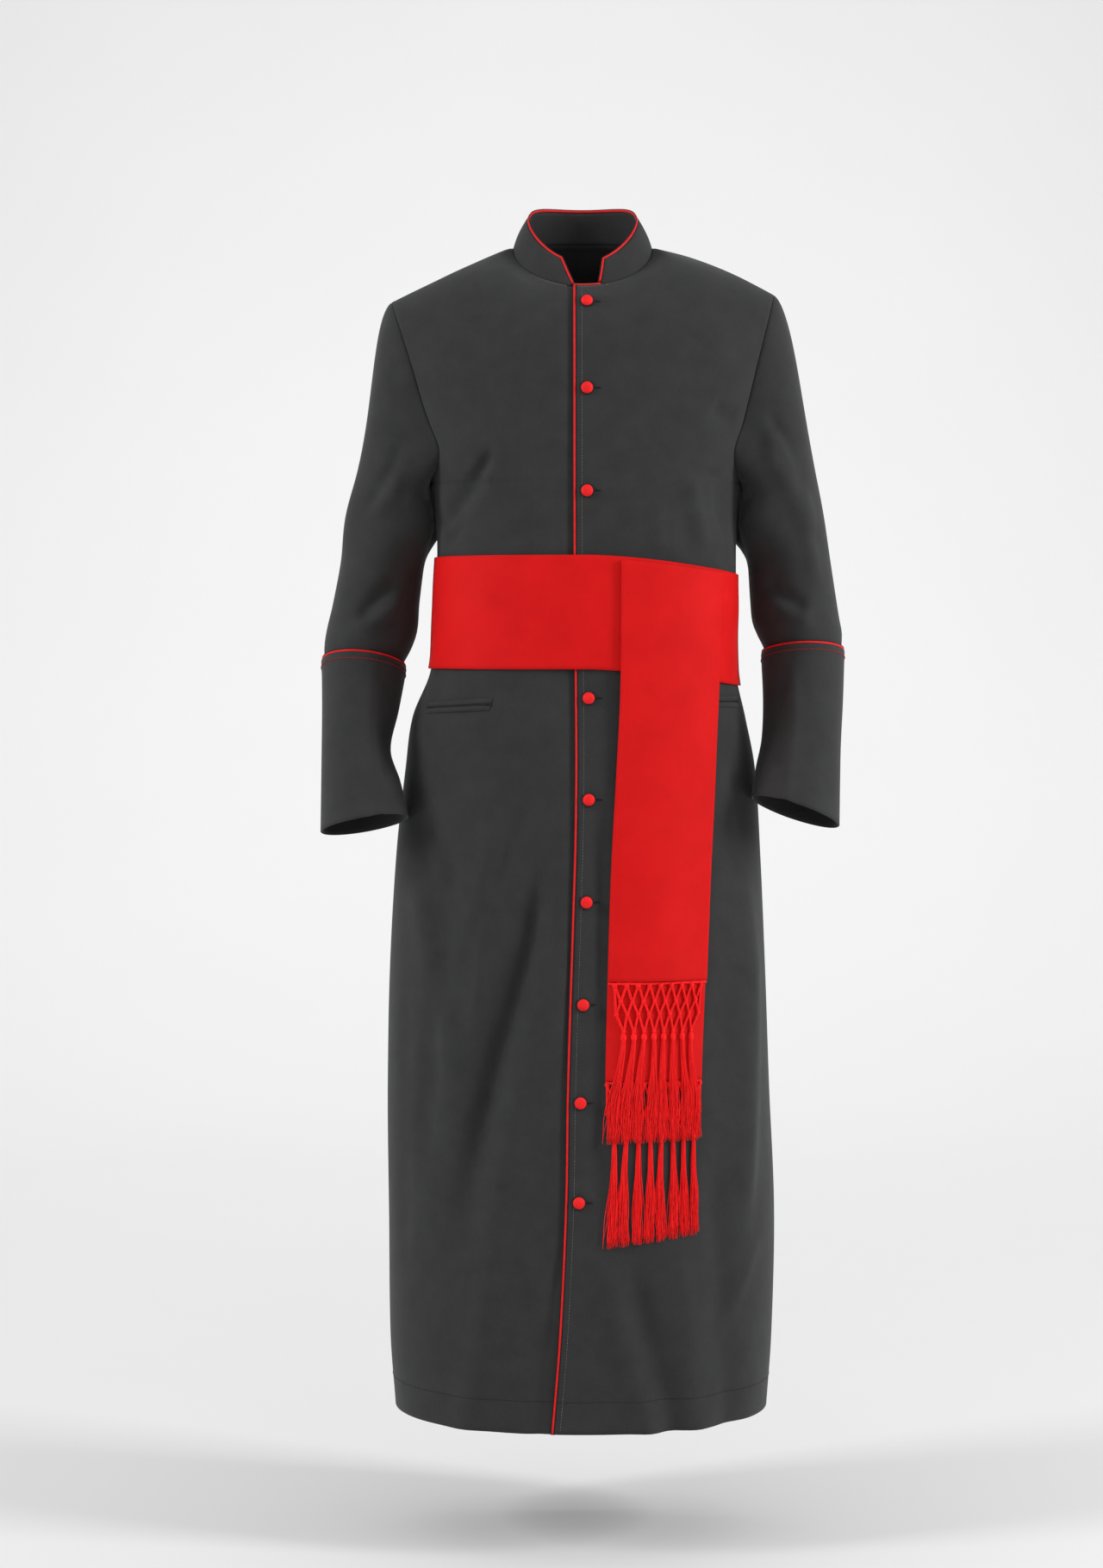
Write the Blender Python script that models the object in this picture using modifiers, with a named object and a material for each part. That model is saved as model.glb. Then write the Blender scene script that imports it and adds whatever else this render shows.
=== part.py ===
"""Clerical cassock with a band cincture, in its worn form and hollow.

Metres, +Z up. The front faces -Y and the wearer's left is +X. The origin is at the neck,
midway between the points where the shoulder seams meet the collar.
"""
import math
from bisect import bisect_right
from functools import lru_cache

import bmesh
import bpy
from mathutils import Vector

# Driving sizes
CLOTH = 0.0020             # thickness of every cloth wall
SEAM_GAP = 0.0004          # clear width of a seam between two pieces
LAP_DEPTH = 0.0030         # how far the right front lies behind the left front's face
LEFT, RIGHT = 1, -1        # sign of X on each side of the wearer

# Body sections from hem to chest: half width and depths of the cloth's outer face
BODY_COLUMNS = ("height", "half_width", "shift", "front", "back", "power")
BODY_SECTIONS = (
    (-1.385, 0.2230, -0.0018, 0.190, 0.175, 2.15),
    (-1.300, 0.2290, -0.0018, 0.186, 0.172, 2.15),
    (-1.150, 0.2314, -0.0010, 0.180, 0.168, 2.15),
    (-1.000, 0.2290, -0.0048, 0.172, 0.163, 2.15),
    (-0.860, 0.2252, -0.0060, 0.164, 0.158, 2.15),
    (-0.720, 0.2180, -0.0050, 0.156, 0.152, 2.20),
    (-0.620, 0.2090, -0.0030, 0.149, 0.143, 2.30),
    (-0.560, 0.1990, -0.0045, 0.145, 0.131, 2.40),
    (-0.505, 0.1825, 0.0005, 0.142, 0.113, 2.55),
    (-0.430, 0.1795, 0.0035, 0.1400, 0.098, 2.65),
    (-0.360, 0.1785, 0.0045, 0.1400, 0.099, 2.60),
    (-0.320, 0.1803, 0.0040, 0.1395, 0.102, 2.52),
    (-0.285, 0.1858, 0.0030, 0.1388, 0.106, 2.47),
    (-0.240, 0.1980, 0.0010, 0.1365, 0.111, 2.45),
    (-0.165, 0.2200, 0.0000, 0.1275, 0.115, 2.50),
)
PANEL_HEIGHTS = (-1.385, -1.335, -1.255, -1.175, -1.095, -1.015, -0.935, -0.855, -0.775, -0.700,
                 -0.635, -0.585, -0.545, -0.508, -0.470, -0.430, -0.375, -0.330, -0.285, -0.276,
                 -0.262, -0.242, -0.215, -0.190, -0.165)
YOKE_STEPS = (0.26, 0.52, 0.77, 1.00)
UNDERARM_ROW = PANEL_HEIGHTS.index(-0.285)

# Edge of the left front, where it laps over the right front
LAP_COLUMNS = ("height", "edge")
LAP_LINE = (
    (-1.385, -0.0345),
    (-1.275, -0.0256),
    (-1.125, -0.0186),
    (-1.000, -0.0166),
    (-0.925, -0.0146),
    (-0.800, -0.0106),
    (-0.700, -0.0076),
    (-0.600, -0.0066),
    (-0.350, -0.0086),
    (0.000, -0.0086),
)
COLLAR_STEP = 0.0291       # from the lap edge to the collar's left end
LAP_STEPS = (0.0, COLLAR_STEP / 2, COLLAR_STEP)
UNDERLAP_STEPS = (-0.0180, -0.0035, 0.0, COLLAR_STEP / 2, COLLAR_STEP)

# Armhole, as the distance of its seam from the middle plane
ARMHOLE_COLUMNS = ("height", "right", "left")
ARMHOLE = (
    (-0.285, 0.1828, 0.1888),
    (-0.276, 0.1790, 0.1850),
    (-0.262, 0.1708, 0.1785),
    (-0.242, 0.1700, 0.1788),
    (-0.215, 0.1805, 0.1878),
    (-0.190, 0.1890, 0.1942),
    (-0.165, 0.1963, 0.2003),
)

# Neck and shoulders
NECK_HALF_WIDTH = 0.083
NECK_FRONT = (0.078, 0.052)      # how far forward and how far down the front of the neckline lies
NECK_BACK = (0.070, 0.012)       # how far back and how far up its back lies
SHOULDER_TIPS = {LEFT: Vector((0.2287, 0.0, -0.056)), RIGHT: Vector((-0.2288, 0.0, -0.065))}
SHOULDER_BOW = {LEFT: 0.007, RIGHT: 0.002}
NECK_FRONT_COLUMNS = 6
NECK_BACK_COLUMNS = 4
SHOULDER_COLUMNS = 8
YOKE_PULL = 0.38                 # how far each yoke line runs on before it turns
YOKE_PASSES = 6                  # how often the yoke is evened out

# Arms: rings of the sleeves and cuffs, wearer's left as given and right mirrored
ARM_COLUMNS = ("height", "inner", "outer", "forward", "depth", "tilt", "lean", "toe_in", "crowding")
SLEEVE_RINGS = {
    RIGHT: (
        (-0.2900, 0.1880, 0.2725, 0.000, 0.0720, 0.30, 0.00, 0.45, 0.62),
        (-0.3300, 0.1840, 0.2845, 0.003, 0.0690, 0.12, 0.02, 0.45, 0.80),
        (-0.3750, 0.1900, 0.2898, 0.008, 0.0660, 0.05, 0.05, 0.04, 0.95),
        (-0.4250, 0.1960, 0.3000, 0.012, 0.0640, 0.00, 0.10, 0.00, 1.00),
        (-0.4560, 0.1985, 0.3068, 0.010, 0.0630, 0.02, 0.18, 0.00, 1.00),
        (-0.4760, 0.2060, 0.3093, 0.003, 0.0605, 0.05, 0.24, 0.00, 1.00),
        (-0.4900, 0.2140, 0.3095, -0.001, 0.0570, 0.07, 0.27, 0.00, 1.00),
        (-0.4990, 0.2158, 0.3085, -0.004, 0.0555, 0.08, 0.28, 0.00, 1.00),
        (-0.5140, 0.2180, 0.3078, -0.0105, 0.0538, 0.07, 0.275, 0.00, 1.00),
    ),
    LEFT: (
        (-0.2900, 0.1950, 0.2795, 0.000, 0.0720, 0.30, 0.00, 0.40, 0.62),
        (-0.3300, 0.1935, 0.2890, 0.003, 0.0690, 0.12, 0.02, 0.50, 0.80),
        (-0.3750, 0.1985, 0.2970, 0.008, 0.0660, 0.05, 0.05, 0.03, 0.95),
        (-0.4200, 0.2015, 0.3045, 0.012, 0.0640, 0.00, 0.10, 0.00, 1.00),
        (-0.4450, 0.2040, 0.3083, 0.010, 0.0630, 0.00, 0.16, 0.00, 1.00),
        (-0.4610, 0.2100, 0.3108, 0.004, 0.0605, 0.01, 0.18, 0.00, 1.00),
        (-0.4750, 0.2170, 0.3105, 0.000, 0.0570, 0.02, 0.19, 0.00, 1.00),
        (-0.4840, 0.2184, 0.3097, -0.002, 0.0555, 0.02, 0.20, 0.00, 1.00),
        (-0.4990, 0.2190, 0.3086, -0.0085, 0.0540, 0.02, 0.205, 0.00, 1.00),
    ),
}
CUFF_RINGS = {
    RIGHT: (
        (-0.4990, 0.2110, 0.3130, -0.004, 0.0600, 0.08, 0.28, 0.00, 1.00),
        (-0.5500, 0.2195, 0.3110, -0.027, 0.0565, 0.03, 0.26, 0.00, 1.00),
        (-0.6000, 0.2280, 0.3100, -0.049, 0.0530, -0.04, 0.23, 0.00, 1.00),
        (-0.6400, 0.2160, 0.3095, -0.065, 0.0545, -0.10, 0.21, 0.00, 1.00),
        (-0.6860, 0.2055, 0.3090, -0.083, 0.0570, -0.18, 0.20, 0.00, 1.00),
    ),
    LEFT: (
        (-0.4840, 0.2140, 0.3140, -0.002, 0.0600, 0.02, 0.20, 0.00, 1.00),
        (-0.5400, 0.2150, 0.3105, -0.026, 0.0565, 0.00, 0.22, 0.00, 1.00),
        (-0.5900, 0.2120, 0.3062, -0.048, 0.0535, -0.08, 0.22, 0.00, 1.00),
        (-0.6300, 0.2045, 0.3040, -0.064, 0.0545, -0.20, 0.20, 0.00, 1.00),
        (-0.6710, 0.1985, 0.3021, -0.081, 0.0570, -0.33, 0.20, 0.00, 1.00),
    ),
}
SLEEVE_HEAD_STEPS = (0.0, 0.14, 0.34, 0.56, 0.78)
SLEEVE_HEAD_PULL = (0.36, 0.12)  # how far the sleeve runs on from its seam, at the underarm and tip
SLEEVE_HEAD_ARRIVAL = 0.42       # how far before the first ring it turns down the arm
SLEEVE_HEAD_LEAN = (0.30, 1.00)  # how far it leaves sideways, at the underarm and tip
SLEEVE_HEAD_RISE = 1.15          # how much the shoulder lifts it, over the drop at the underarm
SLEEVE_TIP_FALL = 0.75           # how much of that lift is lost at the very tip
BACK_TOE_IN = 1.4                # how much more a sleeve's back is drawn in behind the body
SLEEVE_CLEARANCE = 0.0050        # between the hanging sleeve and the body's side
CLEARANCE_START = 3.0            # the clearance is whole after one in this many parts of the head
UNDERARM_DIRECTION = (0.60, -2.00)   # sideways and upward pull on the seam's direction
UNDERARM_REACH = 0.08            # height over which that pull dies out
CUFF_COLUMNS = 22
CUFF_PIPING_INSET = {LEFT: 0.92, RIGHT: 1.05}   # toward the sleeve, as a part of the cuff's wall

# Stand collar: its top ring and how its ends open out at the notch
COLLAR_TOP_HALF_WIDTH = 0.0665
COLLAR_TOP_DEPTH = (0.0665, 0.0680)
COLLAR_TOP_HEIGHTS = {"front": -0.0250, "side": 0.0330, "back": 0.0500}
COLLAR_TOP_ENDS = {LEFT: math.radians(22.6), RIGHT: math.radians(24.1)}
COLLAR_STEPS = (0.0, 0.35, 0.70, 1.0)
COLLAR_BOW = 0.0020

# Trim
PIPING_RADIUS = 0.0014
PIPING_SINK = 0.0008             # of the front piping, behind the face of the cloth
COLLAR_PIPING_ENDS = {LEFT: 0.55, RIGHT: 0.40}   # how far it runs down the first step of each end
FRONT_PIPING_STOP = 0.30         # how far before the collar the front piping stops, of its last step
BUTTON_RADIUS = 0.0070
BUTTON_EDGE_DISTANCE = 0.0128
BUTTON_HEIGHTS = (-0.0727, -0.1757, -0.2955, -0.5363, -0.6540, -0.7726, -0.8907, -1.0037, -1.1184)
BUTTON_PROFILE = ((0.0, 0.0048), (0.62, 0.0042), (1.0, 0.0020), (0.86, 0.0003), (0.0, 0.0003))
BUTTON_STEPS = 12
WELT_HALF_WIDTH = 0.0070
WELT_PROFILE = ((-1.0, 0.0014), (-0.5, 0.0024), (0.0, 0.0015), (0.5, 0.0024), (1.0, 0.0014))
WELT_STEPS = 8
WELTS = {LEFT: ((0.1060, -0.5400), (0.1820, -0.5415)), RIGHT: ((-0.1075, -0.5435), (-0.1825, -0.5487))}
OVERLAY_GAP = 0.0006             # between a panel and what lies on it

# Cincture
BAND_HEIGHTS = (-0.370, -0.404, -0.437, -0.470, -0.503)
BAND_DROP = 0.0205               # how much lower the band sits at the wearer's left side
BAND_COLUMNS = 40
BAND_GAP = 0.0016
BAND_THICKNESS = 0.0022
FALL_THICKNESS = 0.0018
FALL_COLUMNS = ("height", "left_edge", "right_edge")
FALL_LINE = (
    (-1.200, 0.0230, 0.1370),
    (-0.980, 0.0255, 0.1385),
    (-0.865, 0.0290, 0.1460),
    (-0.725, 0.0330, 0.1520),
    (-0.625, 0.0380, 0.1560),
    (-0.525, 0.0420, 0.1610),
    (-0.372, 0.0435, 0.1650),
)
FALL_ACROSS = 9
FALL_TOP_TURNS = (math.radians(20), math.radians(63))   # where its top corners lie on the band
FALL_TOP_SETBACK = 0.0020        # below the band's top edge
FALLS = {
    "back": {"end": -0.9790, "over_band": 0.0046, "over_skirt": 0.0012, "rows": 14, "lean": 0.12},
    "front": {"end": -0.8645, "over_band": 0.0072, "over_skirt": 0.0040, "rows": 12, "lean": 0.02},
}
EASE_HEIGHTS = (-0.640, -0.525)  # between these the falls come in from the band to the skirt

# Fringe: a narrow strip, a knotted net and locks, all cut from one flat outline
FRINGE_WIDTH = 0.118
FRINGE_THICKNESS = 0.0016
FRINGE_STRIP = 0.0030
STRIP_WAVE = (0.0003, 0.0006, 0.0001)   # its lower edge is a little uneven from knot to knot
NET_LEVELS = (0.0040, 0.0220, 0.0370, 0.0570)
NET_NARROWING = (0.93, 0.90, 0.86, 0.80)
NET_KNOTS = 9                    # along the strip; a tassel hangs between each two
TASSELS = NET_KNOTS - 1
CORD_HALF_WIDTH = 0.0009
KNOT_REACH = 2.2                 # from a knot's middle to the hole beside it, in half cords
LOCKS_PER_TASSEL = 4
LOCK_ROOT_DROP = 0.0040          # from a tassel's knot to where its locks part
LOCK_SPREAD = 0.92               # part of a tassel's share of the width that its tips fill
TASSEL_HEAD_HALF_WIDTH = 0.0034
LOCK_HALF_WIDTHS = (0.00052, 0.00070, 0.00080)
FRINGE_LENGTH = 0.182
LOCK_WANDER = (0.00012, -0.00010, 0.00006, -0.00012, 0.00010, -0.00006, 0.00012)
TASSEL_SWAY = (0.0008, -0.0006, 0.0004, 0.0009, -0.0007, 0.0005, -0.0008, 0.0006)
TASSEL_FOOT_WIDTH = 0.98         # of the tips, as a part of the fringe's width
LOCK_TRIM = (0.000, 0.004, -0.003, 0.002, -0.005, 0.003, -0.001)

# The largest folds, as face, depth out of the cloth, spread, and path over (x, z) seen from that face
LARGE_FOLDS = (
    ("front", -0.0090, 0.0150, ((-0.047, -0.700), (-0.062, -0.810), (-0.097, -0.935), (-0.130, -1.085),
                                (-0.150, -1.200))),
    ("front", 0.0060, 0.0200, ((-0.030, -0.770), (-0.040, -0.900), (-0.077, -1.035), (-0.112, -1.235),
                               (-0.137, -1.385))),
    ("front", 0.0060, 0.0160, ((-0.197, -0.735), (-0.182, -0.810), (-0.167, -0.910), (-0.152, -0.985))),
    ("front", -0.0060, 0.0140, ((-0.150, -0.660), (-0.160, -0.790), (-0.178, -0.960), (-0.190, -1.120))),
    ("front", 0.0070, 0.0160, ((0.030, -1.170), (0.034, -1.235), (0.052, -1.310), (0.074, -1.385))),
    ("front", -0.0070, 0.0150, ((0.053, -1.180), (0.078, -1.285), (0.103, -1.385))),
    ("front", 0.0060, 0.0160, ((0.098, -1.150), (0.113, -1.235), (0.130, -1.385))),
    ("front", -0.0060, 0.0150, ((0.150, -1.060), (0.160, -1.220), (0.172, -1.385))),
    ("front", 0.0060, 0.0180, ((0.192, -0.780), (0.190, -0.950), (0.184, -1.160))),
    ("back", -0.0090, 0.0160, ((0.052, -0.660), (0.066, -0.860), (0.090, -1.060), (0.112, -1.385))),
    ("back", 0.0070, 0.0200, ((0.020, -0.700), (0.028, -0.900), (0.050, -1.120), (0.066, -1.385))),
    ("back", -0.0080, 0.0160, ((-0.040, -0.640), (-0.048, -0.840), (-0.046, -1.080), (-0.062, -1.385))),
    ("back", 0.0070, 0.0180, ((-0.080, -0.680), (-0.090, -0.900), (-0.104, -1.140), (-0.112, -1.385))),
    ("back", -0.0070, 0.0150, ((-0.128, -0.740), (-0.146, -0.960), (-0.156, -1.180), (-0.164, -1.385))),
    ("back", 0.0060, 0.0160, ((0.140, -0.760), (0.152, -1.000), (0.160, -1.385))),
)
FOLD_FADE = 0.22                 # part of a fold's length over which each end dies out
FOLD_TOP = (-0.560, -0.640)      # the folds grow from nothing between these heights
FOLD_FACING = 0.35               # a fold is whole where the cloth faces its view at least this much
NORMAL_STEP = 0.010              # for slopes of the smooth surface

COLOURS = {
    "cassock": (0.040, 0.041, 0.044, 1.0),
    "piping": (0.580, 0.010, 0.012, 1.0),
    "button": (0.560, 0.008, 0.010, 1.0),
    "cincture": (0.600, 0.009, 0.010, 1.0),
    "fringe": (0.660, 0.010, 0.012, 1.0),
}
ROUGHNESS = {"cassock": 0.85, "piping": 0.60, "button": 0.55, "cincture": 0.50, "fringe": 0.60}


# Scene and small helpers
def clear_scene():
    for item in list(bpy.data.objects):
        bpy.data.objects.remove(item, do_unlink=True)


def new_collection(name):
    collection = bpy.data.collections.new(name)
    bpy.context.scene.collection.children.link(collection)
    return collection


def cloth_material(node, finish):
    material = bpy.data.materials.new(node + "_" + finish)
    material.use_nodes = True
    shader = material.node_tree.nodes["Principled BSDF"]
    shader.inputs["Base Color"].default_value = COLOURS[finish]
    shader.inputs["Roughness"].default_value = ROUGHNESS[finish]
    shader.inputs["Metallic"].default_value = 0.0
    material.diffuse_color = COLOURS[finish]
    return material


def finish_object(item, mesh_finish):
    item.data.materials.append(cloth_material(item.name, mesh_finish))
    return item


def smooth(knots, values, place):
    """Value at a place on a curve that passes through every knot."""
    place = min(max(place, knots[0]), knots[-1])
    low = min(max(bisect_right(knots, place) - 1, 0), len(knots) - 2)

    def slope(knot):
        before, after = max(knot - 1, 0), min(knot + 1, len(knots) - 1)
        return (values[after] - values[before]) / (knots[after] - knots[before])

    span = knots[low + 1] - knots[low]
    part = (place - knots[low]) / span
    start, end = values[low], values[low + 1]
    leave, arrive = slope(low) * span, slope(low + 1) * span
    return ((2 * part ** 3 - 3 * part ** 2 + 1) * start + (part ** 3 - 2 * part ** 2 + part) * leave
            + (3 * part ** 2 - 2 * part ** 3) * end + (part ** 3 - part ** 2) * arrive)


def table_value(columns, table, name, height):
    """Value of a named column at a height, smooth between the table's rows."""
    rows = sorted(table)
    index = columns.index(name)
    return smooth([row[0] for row in rows], [row[index] for row in rows], height)


def ease(value, start, end):
    """0 before start, 1 after end, smooth between them."""
    part = min(max((value - start) / (end - start), 0.0), 1.0)
    return part * part * (3 - 2 * part)


def bezier(start, leave, arrive, end, part):
    rest = 1 - part
    return (start * rest ** 3 + leave * 3 * rest ** 2 * part
            + arrive * 3 * rest * part ** 2 + end * part ** 3)


# Body surface
@lru_cache(maxsize=None)
def body_section(height):
    return {name: table_value(BODY_COLUMNS, BODY_SECTIONS, name, height) for name in BODY_COLUMNS[1:]}


def ring_point(height, turn):
    """Point of the unfolded cloth; turn is 0 at the front centre and grows to the wearer's left."""
    section = body_section(height)
    across = math.sin(turn)
    is_front = math.cos(turn) > 0
    depth = -section["front"] if is_front else section["back"]
    power = section["power"]
    reach = depth * max(1 - abs(across) ** power, 0.0) ** (1 / power)
    return Vector((section["shift"] + section["half_width"] * across, reach, height))


def turn_at(height, x):
    """Turn of the front point with this x."""
    section = body_section(height)
    return math.asin(min(max((x - section["shift"]) / section["half_width"], -1.0), 1.0))


def lap_edge(height):
    return table_value(LAP_COLUMNS, LAP_LINE, "edge", height)


def side_turn(height, side):
    """Turn where the front panel ends: the side seam, or the armhole above it."""
    if height <= PANEL_HEIGHTS[UNDERARM_ROW]:
        return side * math.pi / 2
    name = "left" if side == LEFT else "right"
    return turn_at(height, side * table_value(ARMHOLE_COLUMNS, ARMHOLE, name, height))


def fold_distance(x, z, path):
    """Distance from a fold's path in the front view, and the part of its length reached there."""
    lengths = [math.dist(a, b) for a, b in zip(path, path[1:])]
    nearest, place, done = 1e9, 0.0, 0.0
    for (ax, az), (bx, bz), length in zip(path, path[1:], lengths):
        part = ((x - ax) * (bx - ax) + (z - az) * (bz - az)) / length ** 2
        part = min(max(part, 0.0), 1.0)
        distance = math.hypot(x - ax - part * (bx - ax), z - az - part * (bz - az))
        if distance < nearest:
            nearest, place = distance, done + part * length
        done += length
    return nearest, place / sum(lengths)


def fold_rise(point, outward):
    """How far the largest folds move a point of the body out of its smooth surface."""
    total = 0.0
    for face, depth, spread, path in LARGE_FOLDS:
        facing = -outward.y if face == "front" else outward.y
        distance, place = fold_distance(point.x, point.z, path)
        if distance > 3 * spread:
            continue
        open_end = path[-1][1] <= PANEL_HEIGHTS[0] + 0.001
        fade = ease(place, 0.0, FOLD_FADE)
        if not open_end:
            fade *= ease(1 - place, 0.0, FOLD_FADE)
        total += depth * math.exp(-(distance / spread) ** 2) * fade * ease(facing, 0.0, FOLD_FACING)
    return total * (1 - ease(point.z, FOLD_TOP[1], FOLD_TOP[0]))


def smooth_normal(height, turn):
    """Outward direction of the unfolded body surface."""
    step = NORMAL_STEP
    across = ring_point(height, turn + step) - ring_point(height, turn - step)
    upward = ring_point(height + step, turn) - ring_point(height - step, turn)
    return across.cross(upward).normalized()


def body_point(height, turn):
    """Point of the folded cloth and the outward direction there."""
    point, outward = ring_point(height, turn), smooth_normal(height, turn)
    return point + outward * fold_rise(point, outward), outward


def panel_point(height, turn):
    """Point on the panels' straight stretch between two of their rows, and the outward direction."""
    low = min(max(bisect_right(PANEL_HEIGHTS, height) - 1, 0), len(PANEL_HEIGHTS) - 2)
    under, over = PANEL_HEIGHTS[low], PANEL_HEIGHTS[low + 1]
    part = (height - under) / (over - under)
    point = body_point(under, turn)[0].lerp(body_point(over, turn)[0], part)
    return point, smooth_normal(height, turn)


# Neck and shoulder lines
def neck_point(turn):
    depth, rise = NECK_FRONT if math.cos(turn) > 0 else NECK_BACK
    return Vector((NECK_HALF_WIDTH * math.sin(turn), -depth * math.cos(turn), -rise * math.cos(turn)))


def neck_arrival(turn, toward):
    """Direction in which the yoke's lines reach the neckline; toward is +1 from the front."""
    across, along = math.sin(turn), math.cos(turn)
    if toward > 0:
        return Vector((-0.6 * across * abs(across), 0.75, 0.66 * along)).normalized()
    return Vector((-0.25 * across * abs(across), -0.55 - 0.3 * across ** 2, -0.6 * along)).normalized()


def shoulder_point(side, part):
    """Point of the shoulder seam, from the neck to the tip."""
    start = Vector((side * NECK_HALF_WIDTH, 0.0, 0.0))
    point = start.lerp(SHOULDER_TIPS[side], part)
    point.z += SHOULDER_BOW[side] * math.sin(math.pi * part)
    return point


def shoulder_arrival(side, part, toward):
    """Direction in which the yoke's lines reach the shoulder seam; toward is +1 from the front."""
    inward = 0.6 if toward > 0 else 0.25
    return Vector((-inward * side * (1 - part) ** 3, toward * (1 - 0.25 * (1 - part) ** 3), 0.0)).normalized()


def neck_turn(x):
    return math.asin(x / NECK_HALF_WIDTH)


def spread_turns(start, end, count):
    return [start + (end - start) * index / count for index in range(count + 1)]


# Panels as grids of outer points: rows rise from the hem, columns turn to the wearer's left
def front_turns(height, side):
    count = NECK_FRONT_COLUMNS + SHOULDER_COLUMNS
    if side == LEFT:
        laps = [turn_at(height, lap_edge(height) + step) for step in LAP_STEPS]
        return laps + spread_turns(laps[-1], side_turn(height, LEFT), count)[1:]
    laps = [turn_at(height, lap_edge(height) + step) for step in UNDERLAP_STEPS]
    return spread_turns(side_turn(height, RIGHT), laps[0], count)[:-1] + laps


def back_turns(height, _side=None):
    count = 2 * (NECK_BACK_COLUMNS + SHOULDER_COLUMNS)
    return spread_turns(math.pi - side_turn(height, LEFT), math.pi - side_turn(height, RIGHT), count)


def front_tops(side):
    """End point and arrival direction of each yoke line of a front."""
    quarter = side * math.pi / 2
    steps = LAP_STEPS if side == LEFT else UNDERLAP_STEPS
    laps = [neck_turn(lap_edge(0.0) + step) for step in steps]
    start = laps[-1] if side == LEFT else laps[0]
    neck = spread_turns(start, quarter, NECK_FRONT_COLUMNS)[1:]
    shoulder = [index / SHOULDER_COLUMNS for index in range(1, SHOULDER_COLUMNS + 1)]
    outer = [(neck_point(turn), neck_arrival(turn, 1)) for turn in neck]
    outer += [(shoulder_point(side, part), shoulder_arrival(side, part, 1)) for part in shoulder]
    middle = [(neck_point(turn), neck_arrival(turn, 1)) for turn in laps]
    return middle + outer if side == LEFT else outer[::-1] + middle


def back_tops():
    parts = [1 - index / SHOULDER_COLUMNS for index in range(SHOULDER_COLUMNS)]
    neck = spread_turns(math.pi / 2, 3 * math.pi / 2, 2 * NECK_BACK_COLUMNS)
    tops = [(shoulder_point(LEFT, part), shoulder_arrival(LEFT, part, -1)) for part in parts]
    tops += [(neck_point(turn), neck_arrival(turn, -1)) for turn in neck]
    tops += [(shoulder_point(RIGHT, part), shoulder_arrival(RIGHT, part, -1)) for part in parts[::-1]]
    return tops


def panel_grid(turns, side, tops):
    rows = [[body_point(height, turn)[0] for turn in turns(height, side)] for height in PANEL_HEIGHTS]
    under_top = PANEL_HEIGHTS[-1] - NORMAL_STEP
    below = [ring_point(under_top, turn) for turn in turns(under_top, side)]
    starts = rows[-1]
    for part in YOKE_STEPS:
        row = []
        for start, under, (end, arrival) in zip(starts, below, tops):
            pull = YOKE_PULL * (end - start).length
            leave = start + (start - under).normalized() * pull
            row.append(bezier(start, leave, end - arrival * pull, end, part))
        rows.append(row)
    relax_yoke(rows, side)
    return rows


def relax_yoke(rows, side):
    """Even the yoke out across its columns; its seams and the lap stay where they are."""
    start = len(LAP_STEPS) if side == LEFT else 1
    end = len(rows[0]) - (len(UNDERLAP_STEPS) if side == RIGHT else 1)
    for _ in range(YOKE_PASSES):
        for line in rows[len(PANEL_HEIGHTS):-1]:
            before = list(line)
            for column in range(start, end):
                line[column] = before[column] * 0.5 + (before[column - 1] + before[column + 1]) * 0.25


def grid_normals(grid, loop=False):
    """Outward directions at a grid's points; a loop's columns meet."""
    normals = []
    for row in range(len(grid)):
        low, high = max(row - 1, 0), min(row + 1, len(grid) - 1)
        count = len(grid[row])
        line = []
        for column in range(count):
            before = (column - 1) % count if loop else max(column - 1, 0)
            after = (column + 1) % count if loop else min(column + 1, count - 1)
            across = grid[row][after] - grid[row][before]
            upward = grid[high][column] - grid[low][column]
            line.append(across.cross(upward).normalized())
        normals.append(line)
    return normals


def share_normals(normals_a, spots_a, normals_b, spots_b):
    """Give two pieces the same outward direction where they meet."""
    for (row_a, col_a), (row_b, col_b) in zip(spots_a, spots_b):
        shared = (normals_a[row_a][col_a] + normals_b[row_b][col_b]).normalized()
        normals_a[row_a][col_a] = shared
        normals_b[row_b][col_b] = shared


def push_underlap(grid, normals):
    """Move the right front's lap in behind the left front."""
    covered = len(UNDERLAP_STEPS) - 1
    for row, line in enumerate(grid):
        for column in range(len(line) - covered, len(line)):
            line[column] = line[column] - normals[row][column] * LAP_DEPTH


# Meshes
def link_mesh(name, vertices, faces, finish, collection):
    mesh = bpy.data.meshes.new(name)
    mesh.from_pydata([tuple(vertex) for vertex in vertices], [], faces)
    mesh.validate()
    solid = bmesh.new()
    solid.from_mesh(mesh)
    bmesh.ops.recalc_face_normals(solid, faces=solid.faces)
    solid.to_mesh(mesh)
    solid.free()
    mesh.shade_smooth()
    mesh.set_sharp_from_angle(angle=math.radians(50))
    item = bpy.data.objects.new(name, mesh)
    collection.objects.link(item)
    return finish_object(item, finish)


def halves(a, b, c, d, points):
    """The two triangles of a four-sided patch, split along its shorter diagonal."""
    if (points[a] - points[c]).length <= (points[b] - points[d]).length:
        return (a, b, c), (a, c, d)
    return (a, b, d), (b, c, d)


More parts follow.
